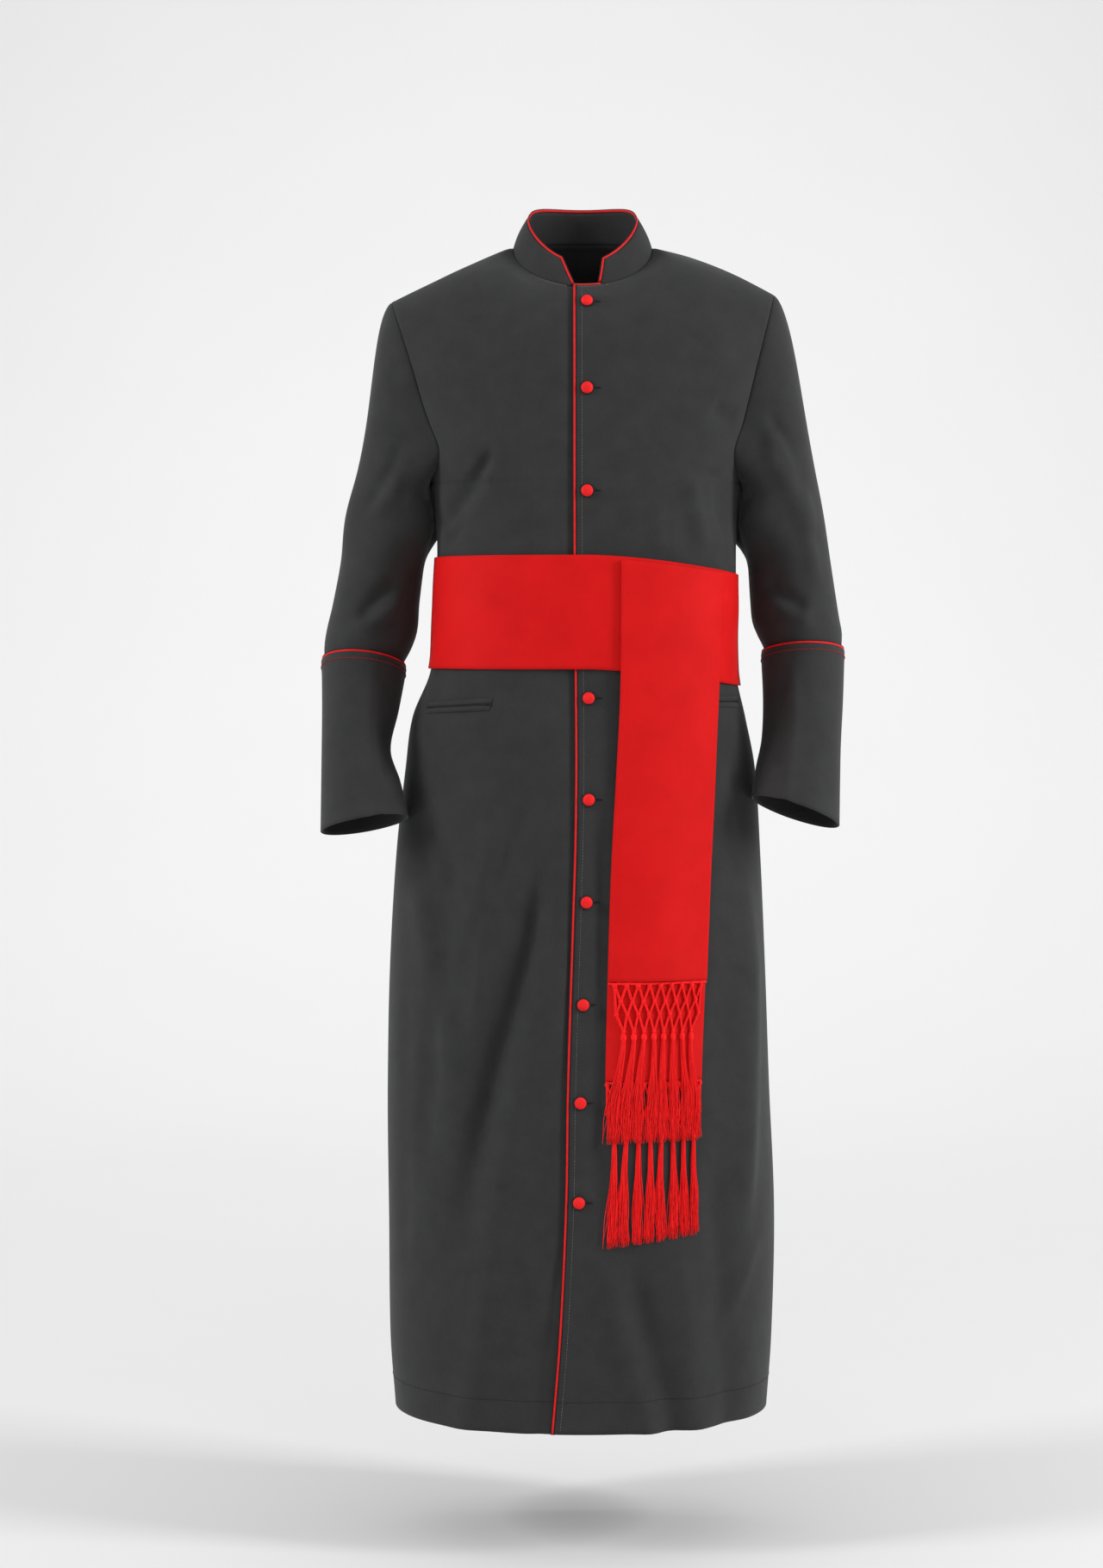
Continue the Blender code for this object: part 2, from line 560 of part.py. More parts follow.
def wall(name, outer, inner, finish, collection, loop=False):
    """Closed wall between two grids with the same rows and columns."""
    rows, columns = len(outer), len(outer[0])
    vertices = [point for row in outer for point in row] + [point for row in inner for point in row]
    inside = rows * columns
    faces = []

    def spot(row, column):
        return row * columns + column % columns

    def patch(a, b, c, d):
        faces.append((a, b, c))
        faces.append((a, c, d))

    wide = columns if loop else columns - 1
    for row in range(rows - 1):
        for column in range(wide):
            a, b = spot(row, column), spot(row, column + 1)
            d, c = spot(row + 1, column), spot(row + 1, column + 1)
            for one, two, three in halves(a, b, c, d, vertices):
                faces.append((one, two, three))
                faces.append((one + inside, three + inside, two + inside))
    for row in (0, rows - 1):
        for column in range(wide):
            a, b = spot(row, column), spot(row, column + 1)
            patch(a, b, b + inside, a + inside)
    if not loop:
        for column in (0, columns - 1):
            for row in range(rows - 1):
                a, d = spot(row, column), spot(row + 1, column)
                patch(a, d, d + inside, a + inside)
    return link_mesh(name, vertices, faces, finish, collection)


def inner_grid(outer, normals, thickness=CLOTH):
    return [[point - normal * thickness for point, normal in zip(*lines)] for lines in zip(outer, normals)]


def piping(name, points, finish, collection, closed=False):
    """Round cord along a line of points, with filled ends."""
    curve = bpy.data.curves.new(name, "CURVE")
    curve.dimensions = "3D"
    curve.bevel_depth = PIPING_RADIUS
    curve.bevel_resolution = 1
    curve.use_fill_caps = True
    spline = curve.splines.new("POLY")
    spline.points.add(len(points) - 1)
    for spot, point in zip(spline.points, points):
        spot.co = (*point, 1.0)
    spline.use_cyclic_u = closed
    item = bpy.data.objects.new(name, curve)
    collection.objects.link(item)
    return finish_object(item, finish)


# Garment pieces
def trim(grid, row, column, direction):
    grid[row][column] = grid[row][column] + direction.normalized() * (SEAM_GAP / 2)


def build_body():
    """Two fronts and the back; returns what the sleeves and the collar are set on."""
    right = panel_grid(front_turns, RIGHT, front_tops(RIGHT))
    left = panel_grid(front_turns, LEFT, front_tops(LEFT))
    back = panel_grid(back_turns, None, back_tops())
    push_underlap(right, grid_normals(right))
    normals = {"right": grid_normals(right), "left": grid_normals(left), "back": grid_normals(back)}
    grids = {"right": right, "left": left, "back": back}
    top = len(back) - 1
    last_left, last_back = len(left[0]) - 1, len(back[0]) - 1

    side_rows = range(UNDERARM_ROW + 1)
    share_normals(normals["left"], [(row, last_left) for row in side_rows],
                  normals["back"], [(row, 0) for row in side_rows])
    share_normals(normals["right"], [(row, 0) for row in side_rows],
                  normals["back"], [(row, last_back) for row in side_rows])
    shoulder = range(SHOULDER_COLUMNS + 1)
    share_normals(normals["left"], [(top, last_left - index) for index in shoulder],
                  normals["back"], [(top, index) for index in shoulder])
    share_normals(normals["right"], [(top, index) for index in shoulder],
                  normals["back"], [(top, last_back - index) for index in shoulder])
    return grids, normals


def armhole_spots(grids, side):
    """Where the armhole's points lie in the grids: up the front, over the tip and down the back."""
    top = len(grids["back"]) - 1
    front = "left" if side == LEFT else "right"
    front_column = len(grids[front][0]) - 1 if side == LEFT else 0
    back_column = 0 if side == LEFT else len(grids["back"][0]) - 1
    spots = [(front, row, front_column) for row in range(UNDERARM_ROW, top + 1)]
    spots += [("back", row, back_column) for row in range(top - 1, UNDERARM_ROW, -1)]
    return spots


def arm_ring(rings, side, height, count):
    """One ring of a sleeve or cuff; it starts at the inner side and goes round by the front."""
    value = {name: table_value(ARM_COLUMNS, rings, name, height) for name in ARM_COLUMNS[1:]}
    middle = (value["inner"] + value["outer"]) / 2
    half = (value["outer"] - value["inner"]) / 2
    points = []
    for index in range(count):
        half_way = 2 * index / count
        if half_way <= 1:
            angle = math.pi * half_way ** value["crowding"]
        else:
            angle = 2 * math.pi - math.pi * (2 - half_way) ** value["crowding"]
        ahead = value["depth"] * math.sin(angle)
        x = middle - half * math.cos(angle)
        x -= value["toe_in"] * max(ahead, -BACK_TOE_IN * ahead) * (1 + math.cos(angle)) / 2
        z = height + value["tilt"] * (x - middle) + value["lean"] * ahead
        points.append(Vector((side * x, value["forward"] - ahead, z)))
    return points


def clear_of_body(point, side, clearance):
    """Move a sleeve's point out until it is clear of the body's side."""
    if point.z > PANEL_HEIGHTS[-1]:
        return point
    section = body_section(round(point.z, 4))
    depth = section["front"] if point.y < 0 else section["back"]
    part = min(abs(point.y) / depth, 1.0)
    power = section["power"]
    edge = section["shift"] * side + section["half_width"] * (1 - part ** power) ** (1 / power)
    return Vector((side * max(side * point.x, edge + clearance), point.y, point.z))


def between(ends, part):
    return ends[0] + (ends[1] - ends[0]) * part


def head_direction(side, lift):
    """Direction in which a sleeve leaves its seam; lift is 0 at the underarm and 1 at the tip."""
    sideways = between(SLEEVE_HEAD_LEAN, lift ** 0.6)
    rise = SLEEVE_HEAD_RISE * lift ** 1.5 * (1 - SLEEVE_TIP_FALL * lift ** 3)
    return Vector((side * sideways, 0.0, rise - 1.0)).normalized()


def sleeve_grid(grids, side):
    """Rows from the armhole down to the end inside the cuff."""
    root = [grids[name][row][column] for name, row, column in armhole_spots(grids, side)]
    count = len(root)
    rings = SLEEVE_RINGS[side]
    heights = [ring[0] for ring in rings]
    first, second = (arm_ring(rings, side, height, count) for height in heights[:2])
    low, high = root[0].z, root[count // 2].z
    rows = []
    for part in SLEEVE_HEAD_STEPS:
        row = []
        for start, end, beyond in zip(root, first, second):
            lift = min(max((start.z - low) / (high - low), 0.0), 1.0)
            arrival = (beyond - end).normalized()
            reach = (end - start).length
            leave = start + head_direction(side, lift) * reach * between(SLEEVE_HEAD_PULL, lift)
            point = bezier(start, leave, end - arrival * reach * SLEEVE_HEAD_ARRIVAL, end, part)
            clearance = SLEEVE_CLEARANCE * min(part * CLEARANCE_START, 1.0)
            row.append(clear_of_body(point, side, clearance) if part > 0 else point)
        rows.append(row)
    for height in heights:
        ring = arm_ring(rings, side, height, count)
        rows.append([clear_of_body(point, side, SLEEVE_CLEARANCE) for point in ring])
    return rows


def outward_normals(grid):
    """Outward directions of a tube whose rows go down."""
    normals = grid_normals(grid, loop=True)
    middle_row = len(grid) // 2
    centre = sum(grid[middle_row], Vector()) / len(grid[middle_row])
    if (grid[middle_row][0] - centre).dot(normals[middle_row][0]) < 0:
        normals = [[-normal for normal in line] for line in normals]
    return normals


def set_in_sleeve(grids, normals, side, collection):
    """Join a sleeve to its armhole with one seam direction, and part the two by the seam's gap."""
    sleeve = sleeve_grid(grids, side)
    sleeve_normals = outward_normals(sleeve)
    spots = armhole_spots(grids, side)
    count = len(spots)
    root = list(sleeve[0])
    shared, gaps = [], []
    for index, (name, row, column) in enumerate(spots):
        lowness = 1 - ease(root[index].z, root[0].z, root[0].z + UNDERARM_REACH)
        body = normals[name][row][column]
        underarm = Vector((UNDERARM_DIRECTION[0] * side, 0.0, UNDERARM_DIRECTION[1])) * lowness
        direction = (body + sleeve_normals[0][index] + underarm).normalized()
        tangent = root[(index + 1) % count] - root[index - 1]
        gap = tangent.cross(direction).normalized()
        if gap.x * side < 0:
            gap = -gap
        shared.append(direction)
        gaps.append(gap)
    for index, (name, row, column) in enumerate(spots):
        sleeve_normals[0][index] = shared[index]
        sleeve[0][index] = root[index] + gaps[index] * SEAM_GAP / 2
    top = len(grids["back"]) - 1
    tip = top - UNDERARM_ROW
    up_the_front = list(range(tip + 1))
    up_the_back = [0] + list(range(count - 1, tip - 1, -1))
    for (name, _, column), indices in ((spots[0], up_the_front), (spots[-1], up_the_back)):
        for row, index in zip(range(UNDERARM_ROW, top + 1), indices):
            normals[name][row][column] = shared[index]
            grids[name][row][column] = root[index] - gaps[index] * SEAM_GAP / 2
    label = "left" if side == LEFT else "right"
    wall("sleeve_" + label, sleeve, inner_grid(sleeve, sleeve_normals), "cassock", collection, loop=True)


def build_cuff(side, collection):
    """A deep cuff and the piping round its top edge."""
    rings = CUFF_RINGS[side]
    grid = [arm_ring(rings, side, ring[0], CUFF_COLUMNS) for ring in rings]
    normals = outward_normals(grid)
    inner = inner_grid(grid, normals)
    label = "left" if side == LEFT else "right"
    wall("cuff_" + label, grid, inner, "cassock", collection, loop=True)
    line = []
    for outside, inside, below in zip(grid[0], inner[0], grid[1]):
        upward = (outside - below).normalized()
        line.append(outside.lerp(inside, CUFF_PIPING_INSET[side]) + upward * (PIPING_RADIUS + SEAM_GAP))
    piping("cuff_piping_" + label, line, "piping", collection, closed=True)


def beside_edge(edge, facings, distance):
    """Line of points beside a wall's edge, square to the edge and in the wall's own surface."""
    path = []
    for index, (point, facing) in enumerate(zip(edge, facings)):
        before = (point - edge[index - 1]).normalized() if index else Vector()
        after = (edge[index + 1] - point).normalized() if index + 1 < len(edge) else Vector()
        sideways = [facing.cross(tangent).normalized() for tangent in (before, after) if tangent.length]
        away = sum(sideways, Vector()).normalized()
        path.append(point + away * distance / max(away.dot(sideways[0]), 0.5))
    return path


def collar_top(turn):
    depth = COLLAR_TOP_DEPTH[0] if math.cos(turn) > 0 else COLLAR_TOP_DEPTH[1]
    low, level, high = (COLLAR_TOP_HEIGHTS[name] for name in ("front", "side", "back"))
    along = math.cos(turn)
    height = level + (low - high) / 2 * along + ((low + high) / 2 - level) * along ** 2
    return Vector((COLLAR_TOP_HALF_WIDTH * math.sin(turn), -depth * along, height))


def build_collar(grids, normals, collection):
    """Stand collar on the neckline's own points, with the piping along its free edges."""
    top = len(grids["back"]) - 1
    left_columns = range(len(LAP_STEPS) - 1, len(LAP_STEPS) + NECK_FRONT_COLUMNS)
    back_columns = range(SHOULDER_COLUMNS + 1, SHOULDER_COLUMNS + 2 * NECK_BACK_COLUMNS)
    right_columns = range(SHOULDER_COLUMNS, len(grids["right"][0]) - len(UNDERLAP_STEPS) + 2)
    spots = [("left", column) for column in left_columns]
    spots += [("back", column) for column in back_columns]
    spots += [("right", column) for column in right_columns]
    base = [grids[name][top][column] for name, column in spots]
    depths = [NECK_FRONT[0] if point.y < 0 else NECK_BACK[0] for point in base]
    turns = [math.atan2(point.x / NECK_HALF_WIDTH, -point.y / depth) % (2 * math.pi)
             for point, depth in zip(base, depths)]
    first, last = turns[0], turns[-1]
    opened = [COLLAR_TOP_ENDS[LEFT] + (turn - first) / (last - first)
              * (2 * math.pi - COLLAR_TOP_ENDS[RIGHT] - COLLAR_TOP_ENDS[LEFT]) for turn in turns]
    edge = [collar_top(turn) for turn in opened]
    grid = []
    for step in COLLAR_STEPS:
        row = []
        for start, end in zip(base, edge):
            away = Vector((start.x, start.y, 0.0)).normalized()
            row.append(start.lerp(end, step) + away * COLLAR_BOW * math.sin(math.pi * step))
        grid.append(row)
    collar_normals = grid_normals(grid)
    for index, (name, column) in enumerate(spots):
        shared = (normals[name][top][column] + collar_normals[0][index]).normalized()
        panel_down = (grids[name][top - 1][column] - grids[name][top][column]).normalized()
        collar_up = (grid[1][index] - grid[0][index]).normalized()
        grid[0][index] = grid[0][index] + collar_up * SEAM_GAP / 2
        grids[name][top][column] = grids[name][top][column] + panel_down * SEAM_GAP / 2
        collar_normals[0][index] = shared
        normals[name][top][column] = shared
    inner = inner_grid(grid, collar_normals)
    wall("collar", grid, inner, "cassock", collection)
    build_collar_piping(grid, inner, collar_normals, collection)


def build_collar_piping(grid, inner, collar_normals, collection):
    """Piping up one end of the collar, round its top and down the other end."""
    middle = [[(a + b) / 2 for a, b in zip(*lines)] for lines in zip(grid, inner)]
    last = len(middle[0]) - 1
    ring = [middle[row][0] for row in range(1, len(middle))] + middle[-1][1:last]
    ring += [middle[row][last] for row in range(len(middle) - 1, 0, -1)]
    facings = [collar_normals[row][0] for row in range(1, len(middle))] + collar_normals[-1][1:last]
    facings += [collar_normals[row][last] for row in range(len(middle) - 1, 0, -1)]
    ring.insert(0, ring[0].lerp(middle[0][0], COLLAR_PIPING_ENDS[LEFT]))
    facings.insert(0, facings[0])
    ring.append(ring[-1].lerp(middle[0][last], COLLAR_PIPING_ENDS[RIGHT]))
    facings.append(facings[-1])
    path = beside_edge(ring, facings, PIPING_RADIUS + SEAM_GAP)
    piping("collar_piping", path, "piping", collection)


def trim_panels(grids, normals):
    """Part the panels at the side and shoulder seams."""
    top = len(grids["back"]) - 1
    last_left, last_back = len(grids["left"][0]) - 1, len(grids["back"][0]) - 1
    for row in range(UNDERARM_ROW + 1):
        for name, edge, neighbour in (("left", last_left, last_left - 1), ("right", 0, 1),
                                      ("back", 0, 1), ("back", last_back, last_back - 1)):
            direction = grids[name][row][neighbour] - grids[name][row][edge]
            direction -= normals[name][row][edge] * direction.dot(normals[name][row][edge])
            trim(grids[name], row, edge, direction)
    for index in range(SHOULDER_COLUMNS + 1):
        for name, column in (("left", last_left - index), ("right", index),
                             ("back", index), ("back", last_back - index)):
            direction = grids[name][top - 1][column] - grids[name][top][column]
            direction -= normals[name][top][column] * direction.dot(normals[name][top][column])
            trim(grids[name], top, column, direction)


def build_front_piping(left, normals, collection):
    """Piping beside the lap edge from the hem up, then along the top edge to the collar's end."""
    lift = PIPING_RADIUS + SEAM_GAP
    top, end = len(left) - 1, len(LAP_STEPS) - 1
    path = []
    for row in range(top + 1):
        across = (left[row][0] - left[row][1]).normalized()
        path.append(left[row][0] + across * lift - normals[row][0] * PIPING_SINK)
    path[-1] += (left[top][0] - left[top - 1][0]).normalized() * lift
    for column in range(1, end + 1):
        upward = (left[top][column] - left[top - 1][column]).normalized()
        spot = left[top][column]
        if column == end:
            spot = spot.lerp(left[top][end - 1], FRONT_PIPING_STOP)
        path.append(spot + upward * lift - normals[top][column] * PIPING_SINK)
    piping("front_piping", path, "piping", collection)


def build_button(name, point, outward, collection):
    """Covered button: a turned flat dome that faces out of the front."""
    mesh = bpy.data.meshes.new(name)
    profile = bmesh.new()
    corners = [profile.verts.new((part * BUTTON_RADIUS, 0.0, height)) for part, height in BUTTON_PROFILE]
    for start, end in zip(corners, corners[1:]):
        profile.edges.new((start, end))
    profile.to_mesh(mesh)
    profile.free()
    item = bpy.data.objects.new(name, mesh)
    collection.objects.link(item)
    screw = item.modifiers.new("Turned", "SCREW")
    screw.steps = BUTTON_STEPS
    screw.render_steps = BUTTON_STEPS
    screw.use_merge_vertices = True
    screw.merge_threshold = 0.00005
    screw.use_smooth_shade = True
    item.location = point
    item.rotation_euler = outward.to_track_quat("Z", "Y").to_euler()
    return finish_object(item, "button")


def front_surface(left, x, height):
    """Point and outward direction on the left front's own facets at an x and a height."""
    for low, high in zip(left, left[1:]):
        for column in range(len(low) - 1):
            corners = (low[column], low[column + 1], high[column + 1], high[column])
            for half in halves(0, 1, 2, 3, corners):
                one, two, three = (corners[index] for index in half)
                area = (two.x - one.x) * (three.z - one.z) - (three.x - one.x) * (two.z - one.z)
                if abs(area) < 1e-12:
                    continue
                part_two = ((x - one.x) * (three.z - one.z) - (three.x - one.x) * (height - one.z)) / area
                part_three = ((two.x - one.x) * (height - one.z) - (x - one.x) * (two.z - one.z)) / area
                if part_two >= -1e-6 and part_three >= -1e-6 and part_two + part_three <= 1 + 1e-6:
                    point = one + (two - one) * part_two + (three - one) * part_three
                    return point, (two - one).cross(three - one).normalized()
    raise ValueError("no cloth at this place")


def build_buttons(left, collection):
    for number, height in enumerate(BUTTON_HEIGHTS, start=1):
        point, outward = front_surface(left, lap_edge(height) + BUTTON_EDGE_DISTANCE, height)
        build_button("button_%d" % number, point + outward * SEAM_GAP, outward, collection)


def build_welts(collection):
    """Two narrow welts of a jetted pocket on each front."""
    for side, ((inner_x, inner_z), (outer_x, outer_z)) in WELTS.items():
        start, end = turn_at(inner_z, inner_x), turn_at(outer_z, outer_x)
        outer, under = [], []
        for place, height in WELT_PROFILE:
            line, base = [], []
            for index in range(WELT_STEPS + 1):
                part = index / WELT_STEPS
                z = inner_z + (outer_z - inner_z) * part + place * WELT_HALF_WIDTH
                point, outward = panel_point(z, start + (end - start) * part)
                line.append(point + outward * height)
                base.append(point + outward * OVERLAY_GAP)
            outer.append(line)
            under.append(base)
        label = "left" if side == LEFT else "right"
        wall("pocket_welt_" + label, outer, under, "cassock", collection)


# Cincture
def band_drop(turn):
    return BAND_DROP * max(math.sin(turn), 0.0) ** 1.6


def build_band(collection):
    """Wide band right round the waist, closed on itself."""
    outer, inner = [], []
    for height in BAND_HEIGHTS:
        line, base = [], []
        for index in range(BAND_COLUMNS):
            turn = 2 * math.pi * index / BAND_COLUMNS
            point, outward = panel_point(height - band_drop(turn), turn)
            base.append(point + outward * BAND_GAP)
            line.append(point + outward * (BAND_GAP + BAND_THICKNESS))
        outer.append(line)
        inner.append(base)
    wall("cincture_band", outer, inner, "cincture", collection, loop=True)


def fall_place(height, part, layer):
    """Inner face of a fall at a height, part of its width from its left edge in the photo's view."""
    edges = [table_value(FALL_COLUMNS, FALL_LINE, name, height) for name in FALL_COLUMNS[1:]]
    start, end = turn_at(height, edges[0]), turn_at(height, edges[1])
    point, outward = panel_point(height, start + (end - start) * part)
    over = FALLS[layer]["over_skirt"]
    over += (FALLS[layer]["over_band"] - over) * ease(height, *EASE_HEIGHTS)
    return point, outward, over


def build_fall(layer, collection):
    """One flat fall from the band's top edge to just above its fringe."""
    top = BAND_HEIGHTS[0] - FALL_TOP_SETBACK
    end, rows = FALLS[layer]["end"], FALLS[layer]["rows"]
    outer, inner = [], []
    for row in range(rows + 1):
        line, base = [], []
        for index in range(FALL_ACROSS):
            part = index / (FALL_ACROSS - 1)
            drop = band_drop(between(FALL_TOP_TURNS, part))
            height = end + (top - drop - end) * row / rows
            point, outward, over = fall_place(height, part, layer)
            base.append(point + outward * over)
            line.append(point + outward * (over + FALL_THICKNESS))
        outer.append(line)
        inner.append(base)
    wall("cincture_%s_fall" % layer, outer, inner, "cincture", collection)


# Fringe: flat coordinates are u across, from the middle, and v down
def net_node(level, place):
    """Node of the net; place counts knots from the left, and halves lie between them."""
    pitch = FRINGE_WIDTH * NET_NARROWING[level] / (NET_KNOTS - 1)
    return Vector((pitch * (place - (NET_KNOTS - 1) / 2), NET_LEVELS[level]))


def shrink(points, margin):
    """Move a hole's corners toward its middle so that the cords keep their width."""
    centre = sum(points, Vector((0.0, 0.0))) / len(points)
    inward = [centre - point for point in points]
    return [point + way.normalized() * min(margin, way.length * 0.5) for point, way in zip(points, inward)]


def net_holes():
    """Open meshes of the net, each a short ring of flat points."""
    holes = []
    margin = CORD_HALF_WIDTH
    for knot in range(NET_KNOTS - 1):
        left, right = net_node(0, knot), net_node(0, knot + 1)
        low = net_node(1, knot + 0.5)
        top = FRINGE_STRIP + STRIP_WAVE[knot % len(STRIP_WAVE)]
        holes.append([Vector((left.x + margin, top)), Vector((low.x, top - 2 * STRIP_WAVE[0])),
                      Vector((right.x - margin, top)), Vector((low.x, low.y - KNOT_REACH * margin))])
    for level in range(1, len(NET_LEVELS) - 1):
        offset = 0.0 if level % 2 else 0.5
        count = NET_KNOTS if level % 2 else NET_KNOTS - 1
        for knot in range(count):
            place = knot + offset
            corners = [net_node(level - 1, place), net_node(level, place + 0.5),
                       net_node(level + 1, place), net_node(level, place - 0.5)]
            if level % 2 and knot == 0:
                corners = corners[:3]
            if level % 2 and knot == NET_KNOTS - 1:
                corners = [corners[0], corners[2], corners[3]]
            holes.append(shrink(corners, 2.0 * margin))
    return holes


def lock_line(tassel, lock, lean):
    """Centre line of one lock: its root, middle and tip."""
    head = net_node(len(NET_LEVELS) - 1, tassel + 0.5)
    order = lock - (LOCKS_PER_TASSEL - 1) / 2
    number = tassel * LOCKS_PER_TASSEL + lock
    wander, sway = LOCK_WANDER[number % len(LOCK_WANDER)], TASSEL_SWAY[tassel]
    trim_length = LOCK_TRIM[(number * 3) % len(LOCK_TRIM)]
    share = FRINGE_WIDTH * TASSEL_FOOT_WIDTH / TASSELS
    bottom_x = (tassel - (TASSELS - 1) / 2) * share + order * share / LOCKS_PER_TASSEL * LOCK_SPREAD
    root = Vector((head.x + order * 2 * TASSEL_HEAD_HALF_WIDTH / LOCKS_PER_TASSEL, head.y + LOCK_ROOT_DROP))
    tip = Vector((bottom_x, FRINGE_LENGTH + trim_length - lean * bottom_x))
    middle = root.lerp(tip, 0.5) + Vector((sway + wander, 0.0))
    return root, middle, tip


def fringe_outline(lean):
    """Outer edge of the fringe: round the strip, down one side, along every lock and back."""
    half = FRINGE_WIDTH / 2
    first, last = net_node(0, 0), net_node(0, NET_KNOTS - 1)
    above = len(NET_LEVELS) - 2
    strip_points = 2 * NET_KNOTS
    points = [Vector((half * (2 * index / strip_points - 1), 0.0)) for index in range(strip_points + 1)]
    points.append(Vector((half, FRINGE_STRIP - STRIP_WAVE[0])))
    points.append(Vector((last.x + CORD_HALF_WIDTH, FRINGE_STRIP)))
    points.append(net_node(above, NET_KNOTS - 1) + Vector((CORD_HALF_WIDTH, 0.0)))
    widths = LOCK_HALF_WIDTHS
    for tassel in range(TASSELS - 1, -1, -1):
        for lock in range(LOCKS_PER_TASSEL - 1, -1, -1):
            root, middle, tip = lock_line(tassel, lock, lean)
            right = [spot + Vector((width, 0.0)) for spot, width in zip((root, middle, tip), widths)]
            left = [spot - Vector((width, 0.0)) for spot, width in zip((root, middle, tip), widths)]
            if lock == LOCKS_PER_TASSEL - 1:
                points.append(right[0])
            points += right[1:] + left[1:][::-1]
            if lock > 0:
                neighbour = lock_line(tassel, lock - 1, lean)[0]
                points.append((left[0] + neighbour + Vector((widths[0], 0.0))) / 2)
            else:
                points.append(left[0])
        if tassel > 0:
            notch = net_node(above, tassel)
            points.append(notch + Vector((0.0, KNOT_REACH * CORD_HALF_WIDTH)))
    points.append(net_node(above, 0) - Vector((CORD_HALF_WIDTH, 0.0)))
    points.append(Vector((first.x - CORD_HALF_WIDTH, FRINGE_STRIP)))
    points.append(Vector((-half, FRINGE_STRIP - STRIP_WAVE[0])))
    return points


def cut_flat_fringe(name, lean, cutters):
    """Mesh of the flat fringe with its holes."""
    curve = bpy.data.curves.new(name + "_outline", "CURVE")
    curve.dimensions = "2D"
    curve.fill_mode = "BOTH"
    curve.extrude = FRINGE_THICKNESS / 2
    for ring in [fringe_outline(lean)] + net_holes():
        spline = curve.splines.new("POLY")
        spline.points.add(len(ring) - 1)
        for spot, point in zip(spline.points, ring):
            spot.co = (point.x, -point.y, 0.0, 1.0)
        spline.use_cyclic_u = True
    outline = bpy.data.objects.new(name + "_outline", curve)
    cutters.objects.link(outline)
    bpy.context.view_layer.update()
    graph = bpy.context.evaluated_depsgraph_get()
    mesh = bpy.data.meshes.new_from_object(outline.evaluated_get(graph))
    bpy.data.objects.remove(outline, do_unlink=True)
    return mesh


def build_fringe(layer, collection, cutters):
    """Lay the flat fringe on the surface below its fall."""
    name = "cincture_%s_fringe" % layer
    mesh = cut_flat_fringe(name, FALLS[layer]["lean"], cutters)
    solid = bmesh.new()
    solid.from_mesh(mesh)
    bmesh.ops.remove_doubles(solid, verts=solid.verts, dist=0.00001)
    bmesh.ops.triangulate(solid, faces=solid.faces)
    caps = [face for face in solid.faces if abs(face.normal.z) > 0.5]
    inside = [edge for edge in solid.edges if all(abs(face.normal.z) > 0.5 for face in edge.link_faces)]
    bmesh.ops.beautify_fill(solid, faces=caps, edges=inside)
    top = FALLS[layer]["end"] - SEAM_GAP
    for vertex in solid.verts:
        part = 0.5 + vertex.co.x / FRINGE_WIDTH
        point, outward, over = fall_place(top + vertex.co.y, part, layer)
        rise = over + FRINGE_THICKNESS / 2 + vertex.co.z
        vertex.co = point + outward * rise
    bmesh.ops.recalc_face_normals(solid, faces=solid.faces)
    solid.to_mesh(mesh)
    solid.free()
    mesh.name = name
    item = bpy.data.objects.new(name, mesh)
    collection.objects.link(item)
    return finish_object(item, "fringe")


def main():
    clear_scene()
    robe = new_collection("clergy_robe")
    cutters = new_collection("clergy_robe_cutters")
    grids, normals = build_body()
    for side in (LEFT, RIGHT):
        set_in_sleeve(grids, normals, side, robe)
        build_cuff(side, robe)
    build_collar(grids, normals, robe)
    trim_panels(grids, normals)
    for node, name in (("right_front", "right"), ("left_front", "left"), ("back", "back")):
        wall(node, grids[name], inner_grid(grids[name], normals[name]), "cassock", robe)
    build_front_piping(grids["left"], normals["left"], robe)
    build_buttons(grids["left"], robe)
    build_welts(robe)
    build_band(robe)
    for layer in FALLS:
        build_fall(layer, robe)
        build_fringe(layer, robe, cutters)


main()
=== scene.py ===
"""Looks of a clerical cassock with a fringed band cincture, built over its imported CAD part.

Metres, +Z up. The front faces -Y and the wearer's left is +X. The cloth repeats the tables and
formulas of the CAD panels on finer grids, so each shell lies on its own solid, and adds the
smaller creases, stitches, piping, buttons and yarn.
"""
import math

import bmesh
import bpy
import numpy as np
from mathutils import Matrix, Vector


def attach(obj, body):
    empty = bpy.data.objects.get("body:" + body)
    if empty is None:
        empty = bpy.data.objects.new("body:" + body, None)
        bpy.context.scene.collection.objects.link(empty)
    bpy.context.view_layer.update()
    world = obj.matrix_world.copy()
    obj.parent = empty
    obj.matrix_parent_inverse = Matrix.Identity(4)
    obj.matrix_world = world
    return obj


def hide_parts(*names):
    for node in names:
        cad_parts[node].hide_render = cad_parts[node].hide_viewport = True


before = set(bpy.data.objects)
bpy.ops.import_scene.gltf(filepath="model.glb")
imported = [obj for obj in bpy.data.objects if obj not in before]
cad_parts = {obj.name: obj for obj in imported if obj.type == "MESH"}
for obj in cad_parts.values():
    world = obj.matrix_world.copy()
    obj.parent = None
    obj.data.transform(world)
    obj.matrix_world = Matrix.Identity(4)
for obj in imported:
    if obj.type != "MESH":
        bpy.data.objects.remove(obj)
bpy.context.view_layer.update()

# Driving sizes, as in the CAD part
CLOTH = 0.0020
SEAM_GAP = 0.0004
LAP_DEPTH = 0.0030
LEFT, RIGHT = 1, -1
LABELS = {LEFT: "left", RIGHT: "right"}
UP = np.array([0.0, 0.0, 1.0])

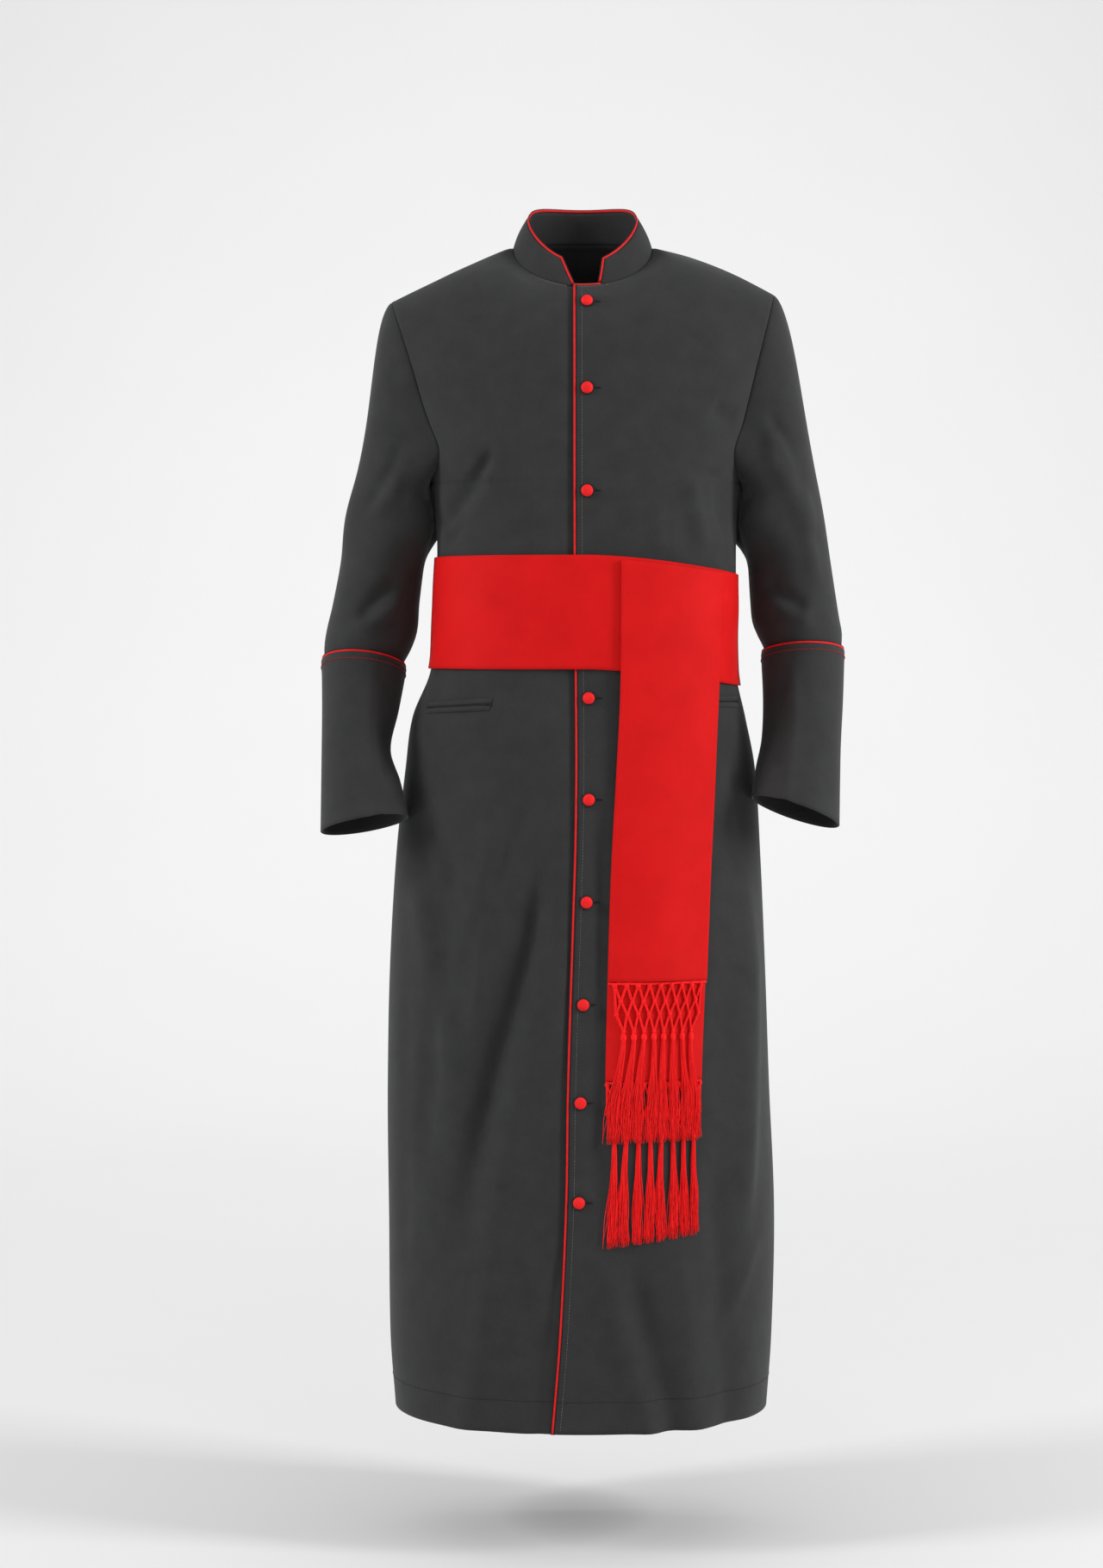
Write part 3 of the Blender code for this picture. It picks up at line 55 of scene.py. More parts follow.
BODY_COLUMNS = ("height", "half_width", "shift", "front", "back", "power")
BODY_SECTIONS = (
    (-1.385, 0.2230, -0.0018, 0.190, 0.175, 2.15),
    (-1.300, 0.2290, -0.0018, 0.186, 0.172, 2.15),
    (-1.150, 0.2314, -0.0010, 0.180, 0.168, 2.15),
    (-1.000, 0.2290, -0.0048, 0.172, 0.163, 2.15),
    (-0.860, 0.2252, -0.0060, 0.164, 0.158, 2.15),
    (-0.720, 0.2180, -0.0050, 0.156, 0.152, 2.20),
    (-0.620, 0.2090, -0.0030, 0.149, 0.143, 2.30),
    (-0.560, 0.1990, -0.0045, 0.145, 0.131, 2.40),
    (-0.505, 0.1825, 0.0005, 0.142, 0.113, 2.55),
    (-0.430, 0.1795, 0.0035, 0.1400, 0.098, 2.65),
    (-0.360, 0.1785, 0.0045, 0.1400, 0.099, 2.60),
    (-0.320, 0.1803, 0.0040, 0.1395, 0.102, 2.52),
    (-0.285, 0.1858, 0.0030, 0.1388, 0.106, 2.47),
    (-0.240, 0.1980, 0.0010, 0.1365, 0.111, 2.45),
    (-0.165, 0.2200, 0.0000, 0.1275, 0.115, 2.50),
)
PANEL_HEIGHTS = (-1.385, -1.335, -1.255, -1.175, -1.095, -1.015, -0.935, -0.855, -0.775, -0.700,
                 -0.635, -0.585, -0.545, -0.508, -0.470, -0.430, -0.375, -0.330, -0.285, -0.276,
                 -0.262, -0.242, -0.215, -0.190, -0.165)
YOKE_STEPS = (0.26, 0.52, 0.77, 1.00)
UNDERARM = -0.285
TOP_ROW = len(PANEL_HEIGHTS) - 1          # the last row that is level
YOKE_END = TOP_ROW + len(YOKE_STEPS)      # the row of the neck and shoulder seams

LAP_COLUMNS = ("height", "edge")
LAP_LINE = (
    (-1.385, -0.0345),
    (-1.275, -0.0256),
    (-1.125, -0.0186),
    (-1.000, -0.0166),
    (-0.925, -0.0146),
    (-0.800, -0.0106),
    (-0.700, -0.0076),
    (-0.600, -0.0066),
    (-0.350, -0.0086),
    (0.000, -0.0086),
)
COLLAR_STEP = 0.0291
UNDERLAP_START = -0.0180
UNDERLAP_FULL = -0.0035

ARMHOLE_COLUMNS = ("height", "right", "left")
ARMHOLE = (
    (-0.285, 0.1828, 0.1888),
    (-0.276, 0.1790, 0.1850),
    (-0.262, 0.1708, 0.1785),
    (-0.242, 0.1700, 0.1788),
    (-0.215, 0.1805, 0.1878),
    (-0.190, 0.1890, 0.1942),
    (-0.165, 0.1963, 0.2003),
)

NECK_HALF_WIDTH = 0.083
NECK_FRONT = (0.078, 0.052)
NECK_BACK = (0.070, 0.012)
SHOULDER_TIPS = {LEFT: (0.2287, 0.0, -0.056), RIGHT: (-0.2288, 0.0, -0.065)}
SHOULDER_BOW = {LEFT: 0.007, RIGHT: 0.002}
YOKE_PULL = 0.38
YOKE_PASSES = 6
YOKE_EASE = (0.26, 0.23)                  # parts at a yoke's foot and top that aren't evened out in full

ARM_COLUMNS = ("height", "inner", "outer", "forward", "depth", "tilt", "lean", "toe_in", "crowding")
SLEEVE_RINGS = {
    RIGHT: (
        (-0.2900, 0.1880, 0.2725, 0.000, 0.0720, 0.30, 0.00, 0.45, 0.62),
        (-0.3300, 0.1840, 0.2845, 0.003, 0.0690, 0.12, 0.02, 0.45, 0.80),
        (-0.3750, 0.1900, 0.2898, 0.008, 0.0660, 0.05, 0.05, 0.04, 0.95),
        (-0.4250, 0.1960, 0.3000, 0.012, 0.0640, 0.00, 0.10, 0.00, 1.00),
        (-0.4560, 0.1985, 0.3068, 0.010, 0.0630, 0.02, 0.18, 0.00, 1.00),
        (-0.4760, 0.2060, 0.3093, 0.003, 0.0605, 0.05, 0.24, 0.00, 1.00),
        (-0.4900, 0.2140, 0.3095, -0.001, 0.0570, 0.07, 0.27, 0.00, 1.00),
        (-0.4990, 0.2158, 0.3085, -0.004, 0.0555, 0.08, 0.28, 0.00, 1.00),
        (-0.5140, 0.2180, 0.3078, -0.0105, 0.0538, 0.07, 0.275, 0.00, 1.00),
    ),
    LEFT: (
        (-0.2900, 0.1950, 0.2795, 0.000, 0.0720, 0.30, 0.00, 0.40, 0.62),
        (-0.3300, 0.1935, 0.2890, 0.003, 0.0690, 0.12, 0.02, 0.50, 0.80),
        (-0.3750, 0.1985, 0.2970, 0.008, 0.0660, 0.05, 0.05, 0.03, 0.95),
        (-0.4200, 0.2015, 0.3045, 0.012, 0.0640, 0.00, 0.10, 0.00, 1.00),
        (-0.4450, 0.2040, 0.3083, 0.010, 0.0630, 0.00, 0.16, 0.00, 1.00),
        (-0.4610, 0.2100, 0.3108, 0.004, 0.0605, 0.01, 0.18, 0.00, 1.00),
        (-0.4750, 0.2170, 0.3105, 0.000, 0.0570, 0.02, 0.19, 0.00, 1.00),
        (-0.4840, 0.2184, 0.3097, -0.002, 0.0555, 0.02, 0.20, 0.00, 1.00),
        (-0.4990, 0.2190, 0.3086, -0.0085, 0.0540, 0.02, 0.205, 0.00, 1.00),
    ),
}
CUFF_RINGS = {
    RIGHT: (
        (-0.4990, 0.2110, 0.3130, -0.004, 0.0600, 0.08, 0.28, 0.00, 1.00),
        (-0.5500, 0.2195, 0.3110, -0.027, 0.0565, 0.03, 0.26, 0.00, 1.00),
        (-0.6000, 0.2280, 0.3100, -0.049, 0.0530, -0.04, 0.23, 0.00, 1.00),
        (-0.6400, 0.2160, 0.3095, -0.065, 0.0545, -0.10, 0.21, 0.00, 1.00),
        (-0.6860, 0.2055, 0.3090, -0.083, 0.0570, -0.18, 0.20, 0.00, 1.00),
    ),
    LEFT: (
        (-0.4840, 0.2140, 0.3140, -0.002, 0.0600, 0.02, 0.20, 0.00, 1.00),
        (-0.5400, 0.2150, 0.3105, -0.026, 0.0565, 0.00, 0.22, 0.00, 1.00),
        (-0.5900, 0.2120, 0.3062, -0.048, 0.0535, -0.08, 0.22, 0.00, 1.00),
        (-0.6300, 0.2045, 0.3040, -0.064, 0.0545, -0.20, 0.20, 0.00, 1.00),
        (-0.6710, 0.1985, 0.3021, -0.081, 0.0570, -0.33, 0.20, 0.00, 1.00),
    ),
}
SLEEVE_HEAD_PULL = (0.36, 0.12)
SLEEVE_HEAD_ARRIVAL = 0.42
SLEEVE_HEAD_LEAN = (0.30, 1.00)
SLEEVE_HEAD_RISE = 1.15
SLEEVE_TIP_FALL = 0.75
BACK_TOE_IN = 1.4
CLEARANCE_START = 3.0
UNDERARM_DIRECTION = (0.60, -2.00)
UNDERARM_REACH = 0.08
SLEEVE_CLEARANCE = 0.0050

COLLAR_TOP_HALF_WIDTH = 0.0665
COLLAR_TOP_DEPTH = (0.0665, 0.0680)
COLLAR_TOP_HEIGHTS = {"front": -0.0250, "side": 0.0330, "back": 0.0500}
COLLAR_TOP_ENDS = {LEFT: math.radians(22.6), RIGHT: math.radians(24.1)}
COLLAR_BOW = 0.0020
PIPING_RADIUS = 0.0014
PIPING_OFFSET = PIPING_RADIUS + SEAM_GAP  # from a cloth's edge to the middle of its piping
PIPING_DEPTH = 0.0008                     # how far the front piping's middle lies under the cloth's face
CUFF_PIPING_INSET = {LEFT: 0.92, RIGHT: 1.05}
BUTTON_RADIUS = 0.0070
BUTTON_EDGE_DISTANCE = 0.0128
BUTTON_HEIGHTS = (-0.0727, -0.1757, -0.2955, -0.5363, -0.6540, -0.7726, -0.8907, -1.0037, -1.1184)
WELT_HALF_WIDTH = 0.0070
WELTS = {LEFT: ((0.1060, -0.5400), (0.1820, -0.5415)), RIGHT: ((-0.1075, -0.5435), (-0.1825, -0.5487))}
OVERLAY_GAP = 0.0006

BAND_TOP, BAND_FOOT = -0.370, -0.503
BAND_DROP = 0.0205
BAND_GAP = 0.0016
BAND_THICKNESS = 0.0022
FALL_THICKNESS = 0.0018
BAND_WALL, FALL_WALL = 0.0019, 0.0016     # what of that is cloth, clear of what lies beneath
FALL_TUCK = 0.002                         # how far a fall's top lies below the band's
FALL_BAND_TURN = (20, 63)                 # degrees round the band that the falls cover
# The falls' right edges are drawn in a few millimetres from those of the solids, as the photo shows them
FALL_COLUMNS = ("height", "left_edge", "right_edge")
FALL_LINE = (
    (-1.200, 0.0230, 0.1350),
    (-0.980, 0.0250, 0.1365),
    (-0.865, 0.0275, 0.1410),
    (-0.725, 0.0320, 0.1465),
    (-0.625, 0.0375, 0.1515),
    (-0.525, 0.0420, 0.1535),
    (-0.372, 0.0435, 0.1590),
)
FALLS = {
    "back": {"end": -0.9790, "over_band": 0.0046, "over_skirt": 0.0012},
    "front": {"end": -0.8645, "over_band": 0.0072, "over_skirt": 0.0040},
}
EASE_HEIGHTS = (-0.640, -0.525)
FRINGE_WIDTH = 0.118
FRINGE_LENGTH = 0.182
FRINGE_LEAN = {"back": 0.12, "front": 0.02}
NET_LEVELS = (0.0040, 0.0220, 0.0370, 0.0570)
NET_NARROWING = {"front": (0.87, 0.86, 0.83, 0.78), "back": (0.96, 0.96, 0.95, 0.94)}
TASSEL_OPENING = {"front": 0.50, "back": 0.42}
NET_KNOTS = 9
KNOT = 0.0021
NET_CORD = 0.00155
PLY_REACH, PLY_RADIUS = 0.55, 0.62
OUT_OF_CLOTH = (0.0, 0.0, 1.0)            # the w direction of the flat fringe
CORD_PITCH = 0.0046
YARN_RADIUS = 0.00036
GOLDEN_TURN = 2.399963
STRANDS = 42
FRINGE_DEPTH = 0.0012                     # from the fringe's back to its middle
FRINGE_SINK = 0.0003                      # how far it lies into the gap behind it
HEADING_POINTS = 60
TASSEL_HEAD = (0.0026, 0.0042)            # half width and half height
TASSEL_DROP, HEAD_DROP = 0.0035, 0.0030   # from the net to the yarn's start, and on to the head's middle
TASSEL_PHASE = {"front": 0.7, "back": 2.0}

# Folds: face, depth out of the cloth, spread, and the path over (x, z)
SKIRT_FOLDS = (
    ("front", -0.0090, 0.0150, ((-0.047, -0.700), (-0.062, -0.810), (-0.097, -0.935), (-0.130, -1.085),
                                (-0.150, -1.200))),
    ("front", 0.0060, 0.0200, ((-0.030, -0.770), (-0.040, -0.900), (-0.077, -1.035), (-0.112, -1.235),
                               (-0.137, -1.385))),
    ("front", 0.0060, 0.0160, ((-0.197, -0.735), (-0.182, -0.810), (-0.167, -0.910), (-0.152, -0.985))),
    ("front", -0.0060, 0.0140, ((-0.150, -0.660), (-0.160, -0.790), (-0.178, -0.960), (-0.190, -1.120))),
    ("front", 0.0070, 0.0160, ((0.030, -1.170), (0.034, -1.235), (0.052, -1.310), (0.074, -1.385))),
    ("front", -0.0070, 0.0150, ((0.053, -1.180), (0.078, -1.285), (0.103, -1.385))),
    ("front", 0.0060, 0.0160, ((0.098, -1.150), (0.113, -1.235), (0.130, -1.385))),
    ("front", -0.0060, 0.0150, ((0.150, -1.060), (0.160, -1.220), (0.172, -1.385))),
    ("front", 0.0060, 0.0180, ((0.192, -0.780), (0.190, -0.950), (0.184, -1.160))),
    ("back", -0.0090, 0.0160, ((0.052, -0.660), (0.066, -0.860), (0.090, -1.060), (0.112, -1.385))),
    ("back", 0.0070, 0.0200, ((0.020, -0.700), (0.028, -0.900), (0.050, -1.120), (0.066, -1.385))),
    ("back", -0.0080, 0.0160, ((-0.040, -0.640), (-0.048, -0.840), (-0.046, -1.080), (-0.062, -1.385))),
    ("back", 0.0070, 0.0180, ((-0.080, -0.680), (-0.090, -0.900), (-0.104, -1.140), (-0.112, -1.385))),
    ("back", -0.0070, 0.0150, ((-0.128, -0.740), (-0.146, -0.960), (-0.156, -1.180), (-0.164, -1.385))),
    ("back", 0.0060, 0.0160, ((0.140, -0.760), (0.152, -1.000), (0.160, -1.385))),
    ("front", -0.0060, 0.0150, ((0.018, -0.620), (0.022, -0.800), (0.020, -1.000), (0.014, -1.180))),
    ("front", -0.0078, 0.0155, ((-0.048, -0.700), (-0.066, -0.840), (-0.100, -0.960), (-0.132, -1.100))),
    ("front", -0.0040, 0.0110, ((-0.060, -0.640), (-0.082, -0.700), (-0.108, -0.760), (-0.128, -0.830))),
    ("front", 0.0058, 0.0110, ((-0.092, -0.650), (-0.110, -0.740), (-0.118, -0.850), (-0.132, -0.960))),
    ("front", -0.0040, 0.0090, ((-0.203, -0.640), (-0.190, -0.700), (-0.176, -0.780), (-0.170, -0.850))),
    ("front", 0.0050, 0.0110, ((0.186, -0.700), (0.196, -0.860), (0.194, -1.020), (0.186, -1.200))),
    ("front", -0.0022, 0.0075, ((-0.203, -0.620), (-0.188, -0.665), (-0.170, -0.715))),
    ("front", -0.0016, 0.0090, ((-0.058, -0.620), (-0.085, -0.655), (-0.120, -0.695))),
    ("front", 0.0018, 0.0090, ((-0.100, -0.640), (-0.122, -0.730), (-0.134, -0.830))),
    ("front", -0.0040, 0.0085, ((-0.026, -1.160), (-0.047, -1.310), (-0.052, -1.385))),
    ("front", 0.0020, 0.0085, ((-0.015, -0.640), (-0.019, -0.780), (-0.030, -0.900))),
    ("front", 0.0034, 0.0090, ((0.210, -1.160), (0.180, -1.230), (0.152, -1.295))),
    ("front", -0.0030, 0.0085, ((0.172, -0.610), (0.182, -0.660), (0.188, -0.710))),
    ("front", -0.0022, 0.0100, ((-0.205, -0.860), (-0.210, -1.020), (-0.209, -1.235))),
    ("back", -0.0026, 0.0090, ((0.150, -0.610), (0.166, -0.720), (0.176, -0.860))),
    ("back", 0.0024, 0.0100, ((-0.015, -0.620), (-0.012, -0.760), (-0.004, -0.920))),
    ("back", -0.0024, 0.0090, ((-0.180, -0.640), (-0.190, -0.780), (-0.196, -0.960))),
    ("back", 0.0022, 0.0090, ((0.100, -0.640), (0.110, -0.780), (0.118, -0.940))),
)
UPPER_FOLDS = (
    ("front", -0.0085, 0.0078, ((-0.102, -0.240), (-0.125, -0.278), (-0.152, -0.318), (-0.170, -0.342))),
    ("front", 0.0062, 0.0085, ((-0.098, -0.262), (-0.120, -0.296), (-0.146, -0.330), (-0.160, -0.352))),
    ("front", -0.0080, 0.0075, ((-0.108, -0.272), (-0.130, -0.306), (-0.150, -0.340), (-0.162, -0.362))),
    ("front", -0.0026, 0.0100, ((-0.060, -0.345), (-0.086, -0.352), (-0.110, -0.362))),
    ("front", -0.0050, 0.0090, ((0.150, -0.196), (0.166, -0.206), (0.180, -0.214))),
    ("front", 0.0062, 0.0105, ((0.120, -0.268), (0.132, -0.320), (0.142, -0.366))),
    ("front", -0.0040, 0.0090, ((0.150, -0.262), (0.160, -0.306), (0.166, -0.350))),
    ("front", 0.0040, 0.0100, ((0.082, -0.300), (0.086, -0.345), (0.087, -0.370))),
    ("front", 0.0018, 0.0090, ((0.103, -0.330), (0.104, -0.352), (0.104, -0.372))),
    ("back", -0.0042, 0.0100, ((0.150, -0.200), (0.128, -0.250), (0.098, -0.300), (0.072, -0.335))),
    ("back", 0.0032, 0.0110, ((0.158, -0.236), (0.138, -0.284), (0.110, -0.330), (0.088, -0.360))),
    ("back", -0.0042, 0.0100, ((-0.152, -0.205), (-0.134, -0.252), (-0.106, -0.306), (-0.078, -0.342))),
    ("back", 0.0030, 0.0110, ((-0.160, -0.246), (-0.142, -0.292), (-0.116, -0.336), (-0.094, -0.362))),
    ("back", -0.0022, 0.0120, ((-0.030, -0.290), (0.004, -0.308), (0.036, -0.300))),
)
SLEEVE_FOLDS = {
    RIGHT: (
        ("front", -0.0042, 0.0080, ((-0.206, -0.232), (-0.236, -0.282), (-0.262, -0.316))),
        ("front", 0.0044, 0.0085, ((-0.194, -0.236), (-0.222, -0.290), (-0.252, -0.326))),
        ("front", -0.0072, 0.0100, ((-0.214, -0.392), (-0.238, -0.416), (-0.270, -0.446))),
        ("front", 0.0064, 0.0105, ((-0.206, -0.408), (-0.240, -0.440), (-0.276, -0.462))),
        ("front", -0.0028, 0.0080, ((-0.205, -0.438), (-0.228, -0.458), (-0.252, -0.472))),
        ("front", 0.0024, 0.0110, ((-0.266, -0.200), (-0.276, -0.300), (-0.284, -0.390))),
        ("back", -0.0046, 0.0110, ((-0.300, -0.392), (-0.270, -0.420), (-0.232, -0.434))),
        ("back", 0.0042, 0.0110, ((-0.302, -0.416), (-0.268, -0.446), (-0.228, -0.456))),
        ("back", -0.0030, 0.0100, ((-0.216, -0.230), (-0.244, -0.300), (-0.262, -0.350))),
    ),
    LEFT: (
        ("front", 0.0050, 0.0095, ((0.210, -0.200), (0.250, -0.270), (0.276, -0.360))),
        ("front", 0.0046, 0.0090, ((0.204, -0.218), (0.254, -0.316), (0.282, -0.420))),
        ("front", -0.0054, 0.0090, ((0.212, -0.196), (0.244, -0.246), (0.262, -0.300))),
        ("front", -0.0064, 0.0100, ((0.214, -0.396), (0.238, -0.418), (0.268, -0.432))),
        ("front", 0.0056, 0.0100, ((0.212, -0.412), (0.244, -0.436), (0.276, -0.448))),
        ("back", -0.0046, 0.0110, ((0.300, -0.386), (0.270, -0.410), (0.232, -0.424))),
        ("back", 0.0042, 0.0110, ((0.302, -0.410), (0.268, -0.436), (0.228, -0.446))),
        ("back", -0.0030, 0.0100, ((0.220, -0.226), (0.246, -0.296), (0.266, -0.350))),
    ),
}
CUFF_FOLDS = {
    RIGHT: (
        ("front", 0.0030, 0.0070, ((-0.251, -0.500), (-0.250, -0.575), (-0.242, -0.625), (-0.236, -0.680))),
        ("front", -0.0036, 0.0110, ((-0.236, -0.520), (-0.237, -0.580), (-0.230, -0.640))),
        ("back", 0.0018, 0.0080, ((-0.270, -0.500), (-0.272, -0.590), (-0.266, -0.680))),
    ),
    LEFT: (
        ("front", 0.0030, 0.0070, ((0.249, -0.490), (0.247, -0.570), (0.240, -0.620), (0.234, -0.665))),
        ("front", -0.0036, 0.0110, ((0.233, -0.510), (0.233, -0.570), (0.226, -0.630))),
        ("back", 0.0018, 0.0080, ((0.268, -0.490), (0.268, -0.580), (0.262, -0.665))),
    ),
}
FOLD_FADE = 0.22
FOLD_TOP = (-0.560, -0.640)
FOLD_SAMPLES = 14
FOLD_FACING = 0.35                         # how far cloth must face a fold's side to take all of it

# Grid spacings and counts of the fine cloth
ROW_SPACING = 0.0065
YOKE_ROW_PIECES = 8
LAP_PIECES = 6
NECK_FRONT_PIECES = 18
NECK_BACK_PIECES = 14
SHOULDER_PIECES = 24
SLEEVE_HEAD_ROWS = 22
SLEEVE_ROWS = 36
CUFF_ROWS, CUFF_PIECES = 40, 84
BAND_ROWS, BAND_PIECES = 26, 240
FALL_ROWS, FALL_PIECES = 96, 45
WELT_PIECES = 40
COLLAR_ROWS = 11
CAD_COLUMNS = {"right": 19, "left": 17, "back": 25}  # columns of the CAD panels' grids
EDGE_ROUND = 0.0007
DRAPE_START = 0.085                        # height over the hem where the unevenness is full
DRAPE_SHARE = {"body": 0.9, "cuff": 0.6}
DRAPE_SCALE = {"sleeve": 1.3, "cuff": 1.1}
SEAM_HOLD = 4.0                            # columns or rows over which a sewn edge keeps still
FREE_HOLD = 5.0                            # the same beside the lap, the neck and the armhole
UNDERLAP_HOLD = (-6.0, 2.0)                # columns beside the underlap where stillness ends
SLEEVE_END_HOLD = (2.7, 9.0)               # rows over the sleeve's end where stillness ends
SLEEVE_INSIDE = (0.205, 0.225)             # x between which the sleeve's creases begin
CUFF_MOUTH = 0.020                         # a fold that ends this near to a cuff's mouth runs out of it

# Stitching
STITCH = 0.0026
STITCH_PITCH = 0.0036
TOPSTITCH_DISTANCE = 0.0070
CUFF_STITCH_DISTANCE = 0.0080
CUFF_THREAD = 0.00058
TOPSTITCH_THREAD = 0.00022
HEM_THREAD = 0.00030
FALL_THREAD = 0.00016
HEM_HEIGHT = -1.350
COLLAR_TACKS = {RIGHT: -0.0200, LEFT: 0.0279}
WELT_SLIT_SHADE = (0.0017, 0.00105)              # painted shade in the pocket slit between the welts, as a dark tube: height, half width
TACK_SPREAD = 0.0007                       # from the middle of a pair of tacks to each of them
TACK_LINE = ((0.0042, 0.00020), (0.0026, 0.00034), (0.0010, 0.00020))  # reach below the edge, radius
BUTTONHOLE = (0.0078, 0.0160)              # from a button's middle to its buttonhole's two ends
BAR_PITCH = 0.0005
BAR_LIFT = 0.00025
TACK_LIFT = 0.0002
# A bar's satin stitch: place across the bar, radius
BAR_LINE = ((-0.0008, 0.00015), (-0.0003, 0.00026), (0.0003, 0.00026), (0.0008, 0.00015))
PIPING_SEAM_AND_SHADE = (0.00180, 0.00055, 0.00056)  # dark line each side of the piping, partly its seam thread and partly painted shadow in the gap beside it: distance, height, radius
BUTTON_TURN = np.array([0.0, -0.6, 0.0])   # how a button on sloping cloth turns to the front
BUTTON_LIFT = 0.030                        # how far such a turn lifts it, for each unit of slope
BUTTON_SHADE_RING = (0.00735, 0.0010, 0.00085)    # painted shadow: a dark ring round a button, where the gap under it is in shade: radius, height, thickness


# Numbers
def smooth(knots, values, place):
    """Value at each place on a curve that passes through every knot."""
    knots, values = np.asarray(knots, float), np.asarray(values, float)
    place = np.clip(place, knots[0], knots[-1])
    low = np.clip(np.searchsorted(knots, place, side="right") - 1, 0, len(knots) - 2)
    numbers = np.arange(len(knots))
    before, after = np.maximum(numbers - 1, 0), np.minimum(numbers + 1, len(knots) - 1)
    slopes = (values[after] - values[before]) / (knots[after] - knots[before])
    span = knots[low + 1] - knots[low]
    part = (place - knots[low]) / span
    return ((2 * part ** 3 - 3 * part ** 2 + 1) * values[low]
            + (part ** 3 - 2 * part ** 2 + part) * slopes[low] * span
            + (3 * part ** 2 - 2 * part ** 3) * values[low + 1]
            + (part ** 3 - part ** 2) * slopes[low + 1] * span)


def table_value(columns, table, name, height):
    """Values of a named column at heights, smooth between the table's rows."""
    rows = sorted(table)
    index = columns.index(name)
    return smooth([row[0] for row in rows], [row[index] for row in rows], height)


def ease(value, start, end):
    """0 before start, 1 after end, smooth between them."""
    part = np.clip((value - start) / (end - start), 0.0, 1.0)
    return part * part * (3 - 2 * part)


def length(vectors):
    return np.linalg.norm(vectors, axis=-1, keepdims=True)


def unit(vectors):
    return vectors / np.maximum(length(vectors), 1e-12)


def between(start, end, part):
    return start * (1 - part) + end * part


def bezier(start, leave, arrive, end, part):
    rest = 1 - part
    return (start * rest ** 3 + leave * 3 * rest ** 2 * part
            + arrive * 3 * rest * part ** 2 + end * part ** 3)


def travelled(points):
    """Distance along a line of points up to each of them."""
    steps = length(np.diff(points, axis=0))[:, 0]
    return np.concatenate([[0.0], np.cumsum(steps)])


def at_places(knots, rows, places):
    """Rows of numbers at places along their knots, straight between them."""
    return np.stack([np.interp(places, knots, rows[:, axis]) for axis in range(rows.shape[1])], axis=-1)


def at_distance(points, distances):
    """Points, or directions given with them, at distances along a line of points."""
    return at_places(travelled(points[..., :3]), points, distances)


def tangents_along(points, closed=False):
    """Directions along a line of points; a closed line's ends meet."""
    if closed:
        return unit(np.roll(points, -1, axis=0) - np.roll(points, 1, axis=0))
    return unit(np.gradient(points, axis=0))


# Body surface
def body_section(height):
    return {name: table_value(BODY_COLUMNS, BODY_SECTIONS, name, height) for name in BODY_COLUMNS[1:]}


def ring_points(height, turn):
    """Points of the unfolded cloth; turn is 0 at the front centre and grows to the wearer's left."""
    height, turn = np.broadcast_arrays(height, turn)
    section = body_section(height)
    across = np.sin(turn)
    depth = np.where(np.cos(turn) > 0, -section["front"], section["back"])
    reach = depth * np.maximum(1 - np.abs(across) ** section["power"], 0.0) ** (1 / section["power"])
    return np.stack([section["shift"] + section["half_width"] * across, reach, height], axis=-1)


def turn_at(height, x):
    section = body_section(height)
    return np.arcsin(np.clip((x - section["shift"]) / section["half_width"], -1.0, 1.0))


def lap_edge(height):
    return table_value(LAP_COLUMNS, LAP_LINE, "edge", height)


def side_turn(height, side):
    """Turn where the front panel ends: the side seam, or the armhole above it."""
    armhole = turn_at(height, side * table_value(ARMHOLE_COLUMNS, ARMHOLE, LABELS[side], height))
    return np.where(height <= UNDERARM, side * math.pi / 2, armhole)


def smooth_normals(height, turn):
    step = 0.01
    across = ring_points(height, turn + step) - ring_points(height, turn - step)
    upward = ring_points(height + step, turn) - ring_points(height - step, turn)
    return unit(np.cross(across, upward))


def soft_path(path):
    """A fold's path with its corners rounded."""
    path = np.array(path)
    done = travelled(path)
    places = np.linspace(0.0, done[-1], FOLD_SAMPLES)
    return np.stack([smooth(done, path[:, 0], places), smooth(done, path[:, 1], places)], axis=-1)


def fold_distance(points, path):
    """Distance of each point from a fold's path in the front view, and the part of it reached."""
    x, z = points[..., 0], points[..., 2]
    nearest, place = np.full(x.shape, 1e9), np.zeros(x.shape)
    done = travelled(path)
    for (ax, az), (bx, bz), start, end in zip(path, path[1:], done, done[1:]):
        part = np.clip(((x - ax) * (bx - ax) + (z - az) * (bz - az)) / (end - start) ** 2, 0.0, 1.0)
        distance = np.hypot(x - ax - part * (bx - ax), z - az - part * (bz - az))
        closer = distance < nearest
        nearest = np.where(closer, distance, nearest)
        place = np.where(closer, start + part * (end - start), place)
    return nearest, place / done[-1]


def fold_rise(points, outward, folds, open_foot=PANEL_HEIGHTS[0]):
    """How far a table of folds moves each point out; a fold that reaches the open foot keeps its depth."""
    total = np.zeros(points.shape[:-1])
    for face, depth, spread, corners in folds:
        path = soft_path(corners)
        facing = -outward[..., 1] if face == "front" else outward[..., 1]
        distance, place = fold_distance(points, path)
        fade = ease(place, 0.0, FOLD_FADE)
        if corners[-1][1] > open_foot + 0.001:
            fade = fade * ease(1 - place, 0.0, FOLD_FADE)
        total += depth * np.exp(-(distance / spread) ** 2) * fade * ease(facing, 0.0, FOLD_FACING)
    return total


def skirt_rise(points, outward):
    return fold_rise(points, outward, SKIRT_FOLDS) * (1 - ease(points[..., 2], FOLD_TOP[1], FOLD_TOP[0]))


def drape(points):
    """Slight unevenness of cloth that hangs free, as a height over the smooth form."""
    x, y, z = points[..., 0], points[..., 1], points[..., 2]
    slow = np.sin(31 * x + 4 * z + 1.3) * np.sin(5.2 * z - 17 * y + 0.4)
    quick = np.sin(74 * x - 9 * z + 23 * y) * np.sin(13 * z + 38 * x + 2.1)
    return 0.0008 * slow + 0.0004 * quick


